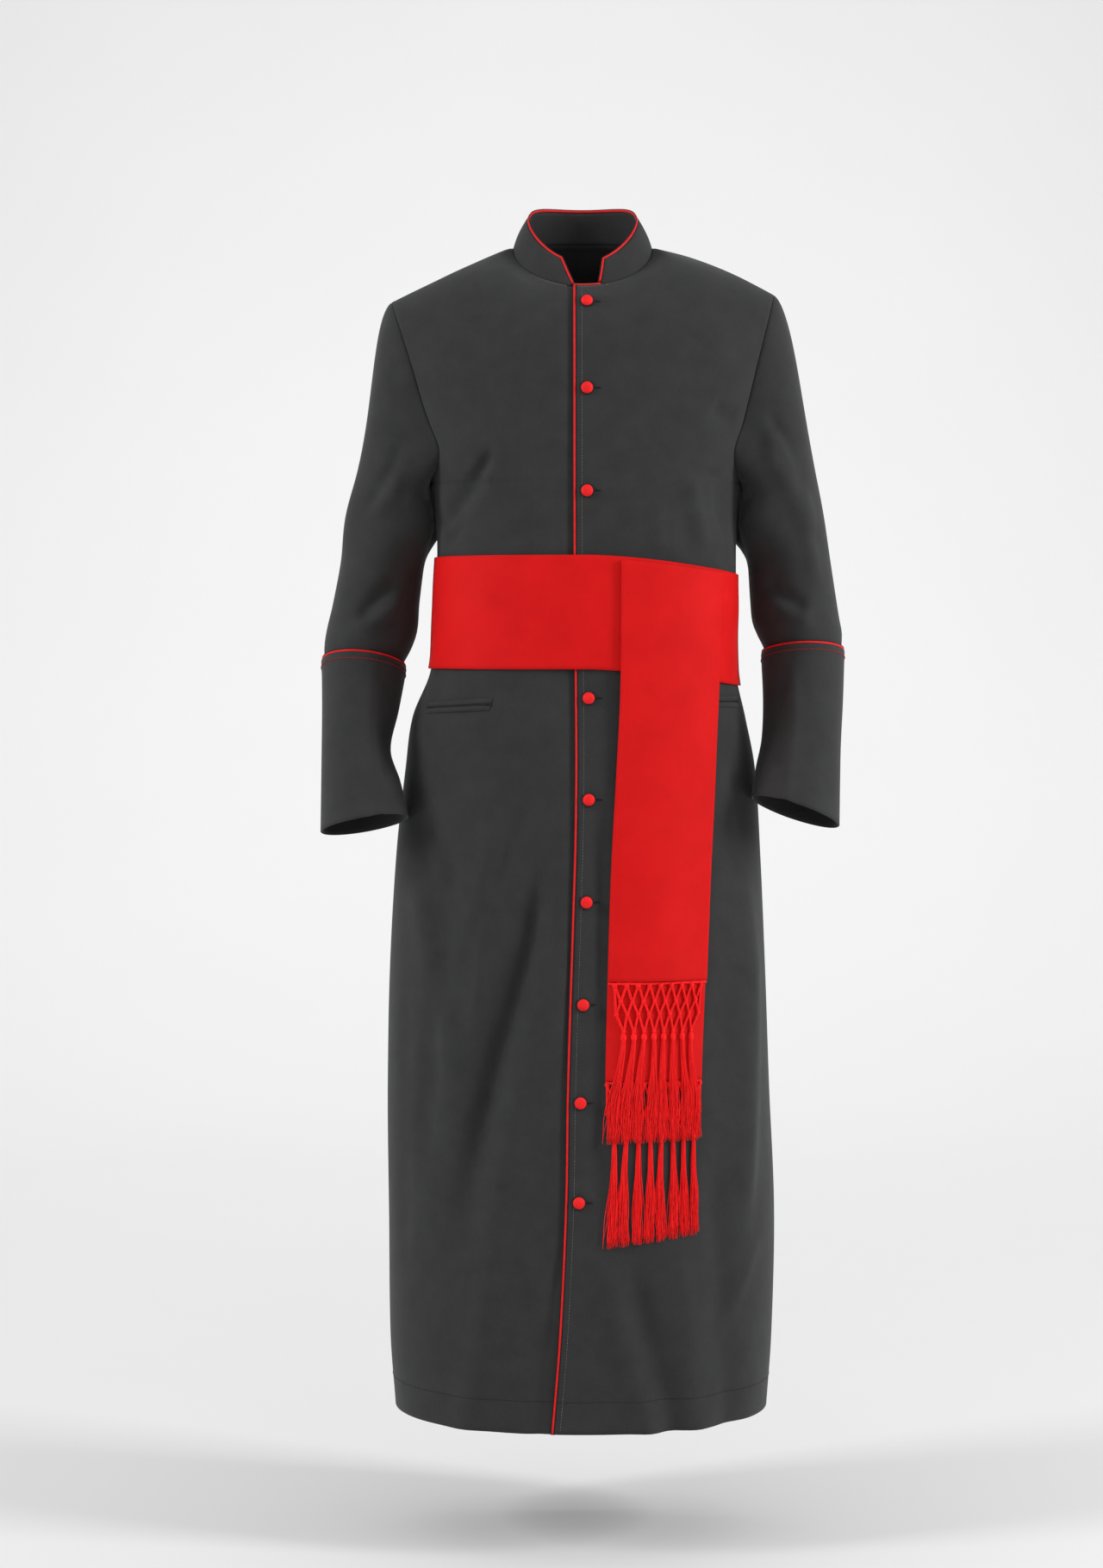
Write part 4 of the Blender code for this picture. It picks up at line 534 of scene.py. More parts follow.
def body_points(height, turn):
    """Points of the folded cloth and the outward directions there."""
    points, outward = ring_points(height, turn), smooth_normals(height, turn)
    return points + outward * skirt_rise(points, outward)[..., None], outward


# Neck and shoulder lines
def neck_points(turn):
    is_front = np.cos(turn) > 0
    depth = np.where(is_front, NECK_FRONT[0], NECK_BACK[0])
    rise = np.where(is_front, NECK_FRONT[1], NECK_BACK[1])
    return np.stack([NECK_HALF_WIDTH * np.sin(turn), -depth * np.cos(turn), -rise * np.cos(turn)], axis=-1)


def neck_arrivals(turn, toward):
    across, along = np.sin(turn), np.cos(turn)
    inward = across * np.abs(across)
    if toward > 0:
        return unit(np.stack([-0.6 * inward, np.full_like(turn, 0.75), 0.66 * along], axis=-1))
    return unit(np.stack([-0.25 * inward, -0.55 - 0.3 * across ** 2, -0.6 * along], axis=-1))


def shoulder_points(side, part):
    part = part[:, None]
    points = between(np.array([side * NECK_HALF_WIDTH, 0.0, 0.0]), np.array(SHOULDER_TIPS[side]), part)
    points[:, 2] += SHOULDER_BOW[side] * np.sin(math.pi * part[:, 0])
    return points


def shoulder_arrivals(side, part, toward):
    inward = 0.6 if toward > 0 else 0.25
    rest = (1 - part) ** 3
    return unit(np.stack([-inward * side * rest, toward * (1 - 0.25 * rest), np.zeros_like(part)], axis=-1))


# Panels as grids of outer points: rows rise from the hem, columns turn to the wearer's left
def row_places():
    """Rows of the fine grids, counted in the CAD panels' rows."""
    places = []
    for index, (low, high) in enumerate(zip(PANEL_HEIGHTS, PANEL_HEIGHTS[1:])):
        count = max(2, round((high - low) / ROW_SPACING))
        places += [index + step / count for step in range(count)]
    places += [TOP_ROW + step / YOKE_ROW_PIECES for step in range(YOKE_ROW_PIECES * len(YOKE_STEPS) + 1)]
    return np.array(places)


ROW_PLACES = row_places()
LEVEL_ROWS = int(np.searchsorted(ROW_PLACES, TOP_ROW + 1e-6))
UNDERARM_ROW = int(np.searchsorted(ROW_PLACES, PANEL_HEIGHTS.index(UNDERARM) - 1e-6))
LEVEL_HEIGHTS = np.interp(ROW_PLACES[:LEVEL_ROWS], range(TOP_ROW + 1), PANEL_HEIGHTS)
YOKE_PARTS = np.interp(ROW_PLACES[LEVEL_ROWS:], range(TOP_ROW, YOKE_END + 1), (0.0,) + YOKE_STEPS)
LAP_STEPS = np.linspace(0.0, COLLAR_STEP, LAP_PIECES + 1)
UNDERLAP_STEPS = np.concatenate([np.linspace(UNDERLAP_START, UNDERLAP_FULL, 4), LAP_STEPS])
COLLAR_RIGHT_STEP = 3                     # the underlap column where the collar's right end stands


def front_turns(height, side):
    steps = LAP_STEPS if side == LEFT else UNDERLAP_STEPS
    laps = turn_at(height, lap_edge(height) + steps)
    share = np.linspace(0.0, 1.0, NECK_FRONT_PIECES + SHOULDER_PIECES + 1)
    edge = side_turn(height, side)
    if side == LEFT:
        return np.hstack([laps, between(laps[:, -1:], edge, share[1:])])
    return np.hstack([between(edge, laps[:, :1], share[:-1]), laps])


def back_turns(height, _side=None):
    start, end = math.pi - side_turn(height, LEFT), math.pi - side_turn(height, RIGHT)
    return between(start, end, np.linspace(0.0, 1.0, 2 * (NECK_BACK_PIECES + SHOULDER_PIECES) + 1))


def front_tops(side):
    """Ends and arrival directions of a front's yoke lines."""
    steps = LAP_STEPS if side == LEFT else UNDERLAP_STEPS
    laps = np.arcsin((lap_edge(0.0) + steps) / NECK_HALF_WIDTH)
    start = laps[-1] if side == LEFT else laps[0]
    neck = np.linspace(start, side * math.pi / 2, NECK_FRONT_PIECES + 1)[1:]
    parts = np.linspace(0.0, 1.0, SHOULDER_PIECES + 1)[1:]
    outer = [np.vstack([neck_points(neck), shoulder_points(side, parts)]),
             np.vstack([neck_arrivals(neck, 1), shoulder_arrivals(side, parts, 1)])]
    middle = [neck_points(laps), neck_arrivals(laps, 1)]
    if side == LEFT:
        return [np.vstack(pair) for pair in zip(middle, outer)]
    return [np.vstack([line[::-1], lap]) for line, lap in zip(outer, middle)]


def back_tops():
    parts = np.linspace(1.0, 0.0, SHOULDER_PIECES + 1)[:-1]
    neck = np.linspace(math.pi / 2, 3 * math.pi / 2, 2 * NECK_BACK_PIECES + 1)
    ends = [shoulder_points(LEFT, parts), neck_points(neck), shoulder_points(RIGHT, parts[::-1])]
    arrivals = [shoulder_arrivals(LEFT, parts, -1), neck_arrivals(neck, -1),
                shoulder_arrivals(RIGHT, parts[::-1], -1)]
    return [np.vstack(ends), np.vstack(arrivals)]


def panel_grid(turns, side, tops, coarse_columns):
    heights = LEVEL_HEIGHTS[:, None]
    level = body_points(heights, turns(heights, side))[0]
    step = 0.010
    below_height = heights[-1:] - step
    below = ring_points(below_height, turns(below_height, side))[0]
    ends, arrivals = tops
    start = level[-1]
    pull = YOKE_PULL * length(ends - start)
    leave = start + unit(start - below) * pull
    parts = YOKE_PARTS[:, None, None]
    yoke = bezier(start, leave, ends - arrivals * pull, ends, parts)
    inside = ease(parts, 0.0, YOKE_EASE[0]) * ease(1 - parts, 0.0, YOKE_EASE[1])
    yoke += (relaxed(yoke, side, coarse_columns) - yoke) * inside
    return np.concatenate([level, yoke])


def relaxed(yoke, side, coarse_columns):
    """The yoke evened out across its columns, as far as the CAD panels' coarser columns are."""
    start = len(LAP_STEPS) if side == LEFT else 1
    end = yoke.shape[1] - (len(UNDERLAP_STEPS) if side == RIGHT else 1)
    fineness = yoke.shape[1] / coarse_columns
    even = yoke.copy()
    for _ in range(round(YOKE_PASSES * fineness ** 2)):
        even[:, start:end] = (even[:, start:end] * 0.5
                              + (even[:, start - 1:end - 1] + even[:, start + 1:end + 1]) * 0.25)
    return even


def grid_normals(grid, loop=False):
    """Directions square to a grid at its points; a loop's columns meet."""
    if loop:
        across = np.roll(grid, -1, axis=1) - np.roll(grid, 1, axis=1)
    else:
        across = np.gradient(grid, axis=1)
    return unit(np.cross(across, np.gradient(grid, axis=0)))


def ring_normals(grid):
    """Outward directions of a tube whose rows go down."""
    normals = grid_normals(grid, loop=True)
    middle = len(grid) // 2
    if ((grid[middle, 0] - grid[middle].mean(axis=0)) * normals[middle, 0]).sum() < 0:
        return -normals
    return normals


# Meshes
def grid_faces(rows, columns, loop, ring=False):
    """Faces of a grid; a loop's columns meet, and so do a ring's rows."""
    row, column = np.meshgrid(np.arange(rows if ring else rows - 1),
                              np.arange(columns if loop else columns - 1), indexing="ij")
    right, above = (column + 1) % columns, (row + 1) % rows
    corners = [row * columns + column, row * columns + right,
               above * columns + right, above * columns + column]
    return np.stack([corner.ravel() for corner in corners], axis=-1)


def new_mesh(name, points, faces):
    mesh = bpy.data.meshes.new(name)
    mesh.from_pydata(np.asarray(points).tolist(), [], [list(map(int, face)) for face in faces])
    mesh.update()
    mesh.shade_smooth()
    return mesh


def add_object(name, data):
    item = bpy.data.objects.new(name, data)
    bpy.context.scene.collection.objects.link(item)
    return item


def new_piece(name, mesh, material, nodes):
    """Put a piece in the scene: it rides on the root and stands for CAD nodes."""
    piece = add_object(name, mesh)
    mesh.materials.append(material)
    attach(piece, "root")
    if nodes:
        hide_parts(*nodes)
    return piece


def add_detail(name, parts, material):
    """A piece made of small parts that stands for no CAD node."""
    new_piece(name, new_mesh(name, *joined(parts)), material, [])


def border_indices(rows, columns, loop):
    """Rings of grid indices round the edge of a wall."""
    index = np.arange(rows * columns).reshape(rows, columns)
    if loop:
        return [index[0], index[-1]]
    return [np.concatenate([index[0, :-1], index[:-1, -1], index[-1, :0:-1], index[:0:-1, 0]])]


def round_edges(grid, loop):
    """The grid with its outermost lines drawn in a little, for a rounded edge."""
    drawn = grid.copy()
    drawn[0] += unit(grid[1] - grid[0]) * EDGE_ROUND
    drawn[-1] += unit(grid[-2] - grid[-1]) * EDGE_ROUND
    if not loop:
        drawn[:, 0] += unit(grid[:, 1] - grid[:, 0]) * EDGE_ROUND
        drawn[:, -1] += unit(grid[:, -2] - grid[:, -1]) * EDGE_ROUND
    return drawn


def cloth_wall(name, outer, normals, thickness, loop):
    """Thin shell between a grid and its copy a thickness further in, with round edges and a UV map."""
    rows, columns = outer.shape[:2]
    inner = outer - normals * thickness
    middle = (outer + inner) / 2
    faces_out = grid_faces(rows, columns, loop)
    facing = np.cross(outer[0, 1] - outer[0, 0], outer[1, 0] - outer[0, 0])
    if (facing * normals[0, 0]).sum() < 0:
        faces_out = faces_out[:, ::-1]
    count = rows * columns
    points = [round_edges(outer, loop).reshape(-1, 3), round_edges(inner, loop).reshape(-1, 3)]
    faces = [faces_out, faces_out[:, ::-1] + count]
    start = 2 * count
    for ring in border_indices(rows, columns, loop):
        points.append(middle.reshape(-1, 3)[ring])
        here, after = np.arange(len(ring)), np.roll(np.arange(len(ring)), -1)
        faces.append(np.stack([ring[here], ring[after], start + after, start + here], axis=-1))
        inside = ring + count
        faces.append(np.stack([start + here, start + after, inside[after], inside[here]], axis=-1))
        start += len(ring)
    mesh = new_mesh(name, np.vstack(points), np.vstack(faces))
    add_weave_map(mesh, outer, count, loop)
    fix_normals(mesh)
    return mesh


def cloth_piece(name, node, outer, normals, thickness=CLOTH, loop=False, cincture=None):
    """A wall of cloth in the scene: the cassock's, or the cincture's where its material is given."""
    mesh = cloth_wall(name, outer, normals, thickness, loop)
    if cincture:
        return new_piece(name, mesh, cincture, [node])
    return new_piece(name, mesh, CASSOCK, [node])


def fix_normals(mesh):
    solid = bmesh.new()
    solid.from_mesh(mesh)
    bmesh.ops.recalc_face_normals(solid, faces=solid.faces)
    solid.to_mesh(mesh)
    solid.free()


def add_weave_map(mesh, outer, count, loop):
    """UV map in metres, so that the weave runs with the cloth."""
    rows, columns = outer.shape[:2]
    middle = rows // 2
    line = np.vstack([outer[middle], outer[middle, :1]]) if loop else outer[middle]
    across = travelled(line)
    upward = travelled(outer[:, columns // 2])
    total = across[-1]
    corner = np.zeros(len(mesh.loops), dtype=np.int64)
    mesh.loops.foreach_get("vertex_index", corner)
    layer = mesh.uv_layers.new(name="weave")
    place = corner % count
    u, v = across[place % columns], upward[np.minimum(place // columns, rows - 1)]
    extra = corner >= 2 * count
    u[extra], v[extra] = 0.0, 0.0
    if loop:
        totals = np.zeros(len(mesh.polygons), dtype=np.int64)
        starts = np.zeros(len(mesh.polygons), dtype=np.int64)
        mesh.polygons.foreach_get("loop_total", totals)
        mesh.polygons.foreach_get("loop_start", starts)
        owner = np.repeat(np.arange(len(totals)), totals)
        high = np.zeros(len(totals))
        np.maximum.at(high, owner, u)
        wraps = (high[owner] - u) > total / 2
        u[wraps] += total
    layer.data.foreach_set("uv", np.stack([u, v], axis=-1).ravel())


def tube_parts(points, refs, radii, sides, closed=False):
    """Vertices and faces of a round tube along a line of points; refs are directions beside it."""
    points = np.asarray(points, float)
    refs = np.broadcast_to(np.asarray(refs, float), points.shape)
    radii = np.broadcast_to(np.asarray(radii, float), (len(points),))
    tangents = tangents_along(points, closed)
    sideways = unit(np.cross(tangents, refs))
    above = np.cross(sideways, tangents)
    angles = np.linspace(0.0, 2 * math.pi, sides, endpoint=False)[None, :, None]
    ring = np.cos(angles) * sideways[:, None] + np.sin(angles) * above[:, None]
    vertices = (points[:, None] + ring * radii[:, None, None]).reshape(-1, 3)
    faces = grid_faces(len(points), sides, True, closed).tolist()
    if not closed:
        first, last = range(sides), range(len(vertices) - sides, len(vertices))
        faces += [list(first)[::-1], list(last)]
    return vertices, faces


def joined(parts):
    """One set of vertices and faces from many."""
    points, faces, start = [], [], 0
    for vertices, some in parts:
        points.append(vertices)
        faces += [tuple(index + start for index in face) for face in some]
        start += len(vertices)
    return np.vstack(points), faces


def stitches(line, outward, radius, first=0.0, sides=5):
    """A row of short raised stitches along a line of points."""
    both = np.hstack([line, outward])
    total = travelled(line)[-1]
    parts = []
    for start in np.arange(first, total - STITCH, STITCH_PITCH):
        spots = at_distance(both, start + STITCH * np.array([0.0, 0.2, 0.5, 0.8, 1.0]))
        normals = unit(spots[:, 3:])
        lift = radius * np.array([-0.3, 0.45, 0.75, 0.45, -0.3])
        parts.append(tube_parts(spots[:, :3] + normals * lift[:, None], normals,
                                radius * np.array([0.55, 0.95, 1.0, 0.95, 0.55]), sides))
    return parts


# Materials
class Finish:
    """A material and the short calls that its functions need."""

    def __init__(self, name):
        self.material = bpy.data.materials.new(name)
        self.material.use_nodes = True
        self.tree = self.material.node_tree
        self.shader = self.tree.nodes["Principled BSDF"]

    def node(self, kind, inputs=None, **settings):
        """A new node with settings of its own and values on its sockets."""
        made = self.tree.nodes.new(kind)
        for name, value in settings.items():
            setattr(made, name, value)
        for name, value in (inputs or {}).items():
            made.inputs[name].default_value = value
        return made

    def link(self, out, into):
        self.tree.links.new(out, into)

    def noise(self, scale, detail=3.0, stretch=None):
        place = self.node("ShaderNodeTexCoord").outputs["Object"]
        if stretch:
            mapping = self.node("ShaderNodeMapping", {"Scale": stretch})
            self.link(place, mapping.inputs["Vector"])
            place = mapping.outputs["Vector"]
        made = self.node("ShaderNodeTexNoise", {"Scale": scale, "Detail": detail, "Roughness": 0.55})
        self.link(place, made.inputs["Vector"])
        return made.outputs["Fac"]

    def threads(self, pitch, direction, angle=0.0):
        """Rows of threads on the weave map, as a height from 0 to 1."""
        mapping = self.node("ShaderNodeMapping", {"Rotation": (0.0, 0.0, angle)})
        self.link(self.node("ShaderNodeUVMap", uv_map="weave").outputs["UV"], mapping.inputs["Vector"])
        wave = self.node("ShaderNodeTexWave", {"Scale": 2 * math.pi / (20 * pitch), "Distortion": 0.0},
                         wave_type="BANDS", bands_direction=direction)
        self.link(mapping.outputs["Vector"], wave.inputs["Vector"])
        return wave.outputs["Fac"]

    def math(self, operation, first, second):
        made = self.node("ShaderNodeMath", operation=operation)
        for socket, value in zip(made.inputs, (first, second)):
            if isinstance(value, (int, float)):
                socket.default_value = value
            else:
                self.link(value, socket)
        return made.outputs["Value"]

    def paint(self, value, low, high):
        """Colour the surface from low to high as a value runs over its middle."""
        made = self.node("ShaderNodeValToRGB")
        for element, position, colour in zip(made.color_ramp.elements, (0.3, 0.7), (low, high)):
            element.position = position
            element.color = (*colour, 1.0)
        self.link(value, made.inputs["Fac"])
        self.link(made.outputs["Color"], self.shader.inputs["Base Color"])

    def relief(self, *layers):
        """Bumps laid one over another; each has a height, a distance and a strength."""
        normal = None
        for height, distance, strength in layers:
            made = self.node("ShaderNodeBump", {"Distance": distance, "Strength": strength})
            self.link(height, made.inputs["Height"])
            if normal:
                self.link(normal, made.inputs["Normal"])
            normal = made.outputs["Normal"]
        self.link(normal, self.shader.inputs["Normal"])

    def set(self, **values):
        for name, value in values.items():
            self.shader.inputs[name.replace("_", " ")].default_value = value


def cassock_cloth(name):
    """Fine charcoal worsted: a steep twill under a soft nap."""
    finish = Finish(name)
    mottle = finish.math("MULTIPLY", finish.noise(38.0, 4.0), 0.65)
    slub = finish.math("MULTIPLY", finish.noise(900.0, 2.0, stretch=(1.0, 1.0, 0.25)), 0.35)
    finish.paint(finish.math("ADD", mottle, slub), (0.0215, 0.0217, 0.0219), (0.0300, 0.0303, 0.0306))
    soft, nap = finish.noise(60.0), finish.noise(1500.0, 2.0)
    twill = finish.threads(0.0011, "X", math.radians(58))
    finish.relief((soft, 0.0012, 0.35), (twill, 0.00010, 0.8), (nap, 0.00014, 0.7))
    finish.set(Roughness=0.82, Sheen_Weight=0.14, Sheen_Roughness=0.40, Specular_IOR_Level=0.22)
    finish.set(Sheen_Tint=(0.80, 0.82, 0.86, 1.0))
    return finish.material


def red_cloth(name, low, high):
    """Plain red cloth with a fine cross rib, as a cincture is made of."""
    finish = Finish(name)
    finish.paint(finish.noise(22.0), low, high)
    soft, weft, warp = finish.noise(45.0), finish.threads(0.0007, "Y"), finish.threads(0.0009, "X")
    finish.relief((soft, 0.0010, 0.30), (weft, 0.00010, 0.7), (warp, 0.00006, 0.6))
    finish.set(Roughness=0.70, Sheen_Weight=0.05, Sheen_Roughness=0.4, Specular_IOR_Level=0.12)
    finish.set(Sheen_Tint=(1.0, 0.12, 0.10, 1.0))
    return finish.material


def trim_cloth(name, low, high):
    """Tightly covered trim: the cloth's threads show as a fine grain all round."""
    finish = Finish(name)
    finish.paint(finish.noise(160.0, 2.0), low, high)
    finish.relief((finish.noise(2400.0, 2.0), 0.00012, 0.6))
    finish.set(Roughness=0.60, Sheen_Weight=0.04, Specular_IOR_Level=0.18)
    return finish.material


def yarn(name, low, high, roughness=0.62):
    """Twisted yarn: short slanting strands with a soft gloss."""
    finish = Finish(name)
    strand = finish.noise(700.0, 2.0, stretch=(1.0, 1.0, 0.20))
    finish.paint(strand, low, high)
    finish.relief((strand, 0.00025, 0.6))
    finish.set(Roughness=roughness, Sheen_Weight=0.04, Specular_IOR_Level=0.15)
    return finish.material


def plain_paint(name, colour, roughness):
    finish = Finish(name)
    finish.paint(finish.noise(1.5), colour, tuple(value * 1.01 for value in colour))
    finish.set(Roughness=roughness, Specular_IOR_Level=0.10)
    return finish.material


CASSOCK = cassock_cloth("charcoal worsted")
BAND_CLOTH = red_cloth("cincture cloth", (0.580, 0.0035, 0.0040), (0.650, 0.0050, 0.0055))
# the back fall's cloth is the band's cloth a little darker: painted shade, as it hangs behind the front
# fall
SHADED_BACK_FALL_CLOTH = red_cloth("cincture cloth, back fall in painted shade", (0.560, 0.0035, 0.0040), (0.630, 0.0050, 0.0055))
FALL_CLOTH = {"front": BAND_CLOTH, "back": SHADED_BACK_FALL_CLOTH}
PIPING_CLOTH = trim_cloth("red piping", (0.62, 0.0060, 0.0070), (0.74, 0.0090, 0.0100))
BUTTON_CLOTH = trim_cloth("red button cloth", (0.72, 0.0080, 0.0090), (0.84, 0.0120, 0.0130))
FRINGE_YARN = yarn("red fringe yarn", (0.82, 0.0060, 0.0070), (1.00, 0.0120, 0.0130))
PALE_THREAD = yarn("pale topstitch thread", (0.10, 0.10, 0.10), (0.20, 0.20, 0.20), 0.7)
# dark thread for the buttonholes and the hem, also used for painted shade: the rings round the buttons, the
# lines beside the piping and the pocket slits
DARK_THREAD_AND_SHADE = yarn("buttonhole thread and painted shade", (0.008, 0.008, 0.009), (0.016, 0.016, 0.017), 0.8)
RED_THREAD = yarn("dark red thread", (0.24, 0.007, 0.008), (0.38, 0.011, 0.012), 0.7)


# Body, sleeves and cuffs
def fine_body():
    """Grids and outward directions of the two fronts and the back."""
    grids = {
        "right": panel_grid(front_turns, RIGHT, front_tops(RIGHT), CAD_COLUMNS["right"]),
        "left": panel_grid(front_turns, LEFT, front_tops(LEFT), CAD_COLUMNS["left"]),
        "back": panel_grid(back_turns, None, back_tops(), CAD_COLUMNS["back"]),
    }
    hem = PANEL_HEIGHTS[0]
    for name, grid in grids.items():
        normals = grid_normals(grid)
        rise = fold_rise(grid, normals, UPPER_FOLDS, open_foot=-math.inf)
        rise = rise + drape(grid) * ease(grid[..., 2], hem, hem + DRAPE_START) * DRAPE_SHARE["body"]
        rise = rise * hold_edges(grid.shape, name)
        grids[name] = grid + normals * rise[..., None]
    columns = grids["right"].shape[1]
    covered = ease(np.arange(columns) - (columns - len(UNDERLAP_STEPS)), 0.0, COLLAR_RIGHT_STEP)
    grids["right"] -= grid_normals(grids["right"]) * (LAP_DEPTH * covered)[None, :, None]
    return grids, {name: grid_normals(grid) for name, grid in grids.items()}


def hold_edges(shape, name):
    """1 over a panel and 0 along its sewn edges, so that seams still meet."""
    rows, columns = shape[:2]
    across = np.arange(columns)
    left_over = columns - 1 - across
    if name == "left":
        hold = ease(left_over, 0.0, SEAM_HOLD) * ease(across - LAP_PIECES, 0.0, FREE_HOLD)
    elif name == "right":
        hold = ease(across, 0.0, SEAM_HOLD) * ease(left_over - len(UNDERLAP_STEPS), *UNDERLAP_HOLD)
    else:
        hold = ease(np.minimum(across, left_over), 0.0, SEAM_HOLD)
    upward = ease(rows - 1 - np.arange(rows), 0.0, FREE_HOLD)
    return upward[:, None] * hold[None, :]


def gather(grids, spots):
    """Values at spots of the panels, one spot after another."""
    return np.vstack([grids[name][rows, columns] for name, rows, columns in spots])


def hand_out(normals, spots, directions):
    """Set the panels' directions at spots, in the order of gather."""
    start = 0
    for name, rows, columns in spots:
        count = np.broadcast(rows, columns).size
        normals[name][rows, columns] = directions[start:start + count]
        start += count


def join_seams(grids, normals):
    """Give panels the same outward direction where they meet at the side and shoulder seams."""
    last_left, last_back = grids["left"].shape[1] - 1, grids["back"].shape[1] - 1
    side, along = np.arange(UNDERARM_ROW + 1), np.arange(SHOULDER_PIECES + 1)
    pairs = (
        (("left", side, last_left), ("back", side, 0)),
        (("right", side, 0), ("back", side, last_back)),
        (("left", -1, last_left - along), ("back", -1, along)),
        (("right", -1, along), ("back", -1, last_back - along)),
    )
    for spots in pairs:
        shared = unit(sum(normals[name][rows, columns] for name, rows, columns in spots))
        for name, rows, columns in spots:
            normals[name][rows, columns] = shared


def armhole_index(grids, side):
    """Names, rows and columns of the armhole's points: up the front, over the tip, down the back."""
    top = len(grids["back"]) - 1
    up = np.arange(UNDERARM_ROW, top + 1)
    down = np.arange(top - 1, UNDERARM_ROW, -1)
    front_column = grids["left"].shape[1] - 1 if side == LEFT else 0
    back_column = 0 if side == LEFT else grids["back"].shape[1] - 1
    return (LABELS[side], up, front_column), ("back", down, back_column)


def armhole_places():
    """Where each armhole point lies round a ring: 0 at the underarm, 1 at the tip, 2 at the underarm."""
    up = (ROW_PLACES[UNDERARM_ROW:] - ROW_PLACES[UNDERARM_ROW]) / (YOKE_END - ROW_PLACES[UNDERARM_ROW])
    return np.concatenate([up, 2 - up[-2:0:-1]])


def arm_rings(rings, side, heights, places):
    """Rings of a sleeve or cuff; each starts at the inner side and goes round by the front."""
    height = np.asarray(heights)[:, None]
    value = {name: table_value(ARM_COLUMNS, rings, name, height) for name in ARM_COLUMNS[1:]}
    middle = (value["inner"] + value["outer"]) / 2
    half = (value["outer"] - value["inner"]) / 2
    there = np.minimum(places, 1.0) ** value["crowding"]
    back = np.maximum(2 - places, 0.0) ** value["crowding"]
    angle = np.where(places <= 1, math.pi * there, 2 * math.pi - math.pi * back)
    ahead = value["depth"] * np.sin(angle)
    x = middle - half * np.cos(angle)
    x = x - value["toe_in"] * np.maximum(ahead, -BACK_TOE_IN * ahead) * (1 + np.cos(angle)) / 2
    z = height + value["tilt"] * (x - middle) + value["lean"] * ahead
    return np.stack([side * x, value["forward"] - ahead, z], axis=-1)


def clear_of_body(points, side, clearance):
    """Move a sleeve's points out until they are clear of the body's side."""
    section = body_section(points[..., 2])
    depth = np.where(points[..., 1] < 0, section["front"], section["back"])
    part = np.minimum(np.abs(points[..., 1]) / depth, 1.0)
    power = section["power"]
    edge = section["shift"] * side + section["half_width"] * (1 - part ** power) ** (1 / power)
    x = side * np.maximum(side * points[..., 0], edge + clearance)
    moved = points.copy()
    moved[..., 0] = np.where(points[..., 2] > PANEL_HEIGHTS[-1], points[..., 0], x)
    return moved


def fine_sleeve(root, side):
    """Rows from the armhole down to the end inside the cuff."""
    rings = SLEEVE_RINGS[side]
    places = armhole_places()
    first, second = (arm_rings(rings, side, [ring[0]], places)[0] for ring in rings[:2])
    low, high = root[0, 2], root[len(root) // 2, 2]
    lift = np.clip((root[:, 2:] - low) / (high - low), 0.0, 1.0)
    sideways = between(*SLEEVE_HEAD_LEAN, lift ** 0.6)
    rise = SLEEVE_HEAD_RISE * lift ** 1.5 * (1 - SLEEVE_TIP_FALL * lift ** 3)
    outward = unit(np.hstack([side * sideways, np.zeros_like(lift), rise - 1.0]))
    reach = length(first - root)
    leave = root + outward * reach * between(*SLEEVE_HEAD_PULL, lift)
    arrive = first - unit(second - first) * reach * SLEEVE_HEAD_ARRIVAL
    rows = [root]
    for part in np.linspace(0.0, 1.0, SLEEVE_HEAD_ROWS)[1:-1]:
        row = bezier(root, leave, arrive, first, part)
        rows.append(clear_of_body(row, side, SLEEVE_CLEARANCE * min(part * CLEARANCE_START, 1.0)))
    heights = np.linspace(rings[0][0], rings[-1][0], SLEEVE_ROWS)
    body = clear_of_body(arm_rings(rings, side, heights, places), side, SLEEVE_CLEARANCE)
    grid = np.concatenate([np.stack(rows), body])
    normals = ring_normals(grid)
    rise = fold_rise(grid, normals, SLEEVE_FOLDS[side], open_foot=-math.inf)
    rise = rise + drape(grid * DRAPE_SCALE["sleeve"])
    down = np.arange(len(grid))
    hold = ease(down, 0.0, FREE_HOLD) * ease(len(grid) - 1 - down, *SLEEVE_END_HOLD)
    inside = ease(grid[..., 0] * side, *SLEEVE_INSIDE)
    return grid + normals * (rise * hold[:, None] * inside)[..., None]


def set_in_sleeve(grids, normals, side):
    """Join a sleeve to its armhole with one seam direction."""
    spots = armhole_index(grids, side)
    root = gather(grids, spots)
    sleeve = fine_sleeve(root, side)
    sleeve_normals = ring_normals(sleeve)
    lowness = 1 - ease(root[:, 2:], root[0, 2], root[0, 2] + UNDERARM_REACH)
    underarm = np.array([UNDERARM_DIRECTION[0] * side, 0.0, UNDERARM_DIRECTION[1]]) * lowness
    direction = unit(gather(normals, spots) + sleeve_normals[0] + underarm)
    sleeve_normals[0] = direction
    hand_out(normals, spots, direction)
    back_column = spots[1][2]
    normals["back"][UNDERARM_ROW, back_column] = direction[0]
    normals["back"][-1, back_column] = direction[len(spots[0][1]) - 1]
    label = LABELS[side]
    piece = cloth_piece("sleeve_cloth_" + label, "sleeve_" + label, sleeve, sleeve_normals, loop=True)


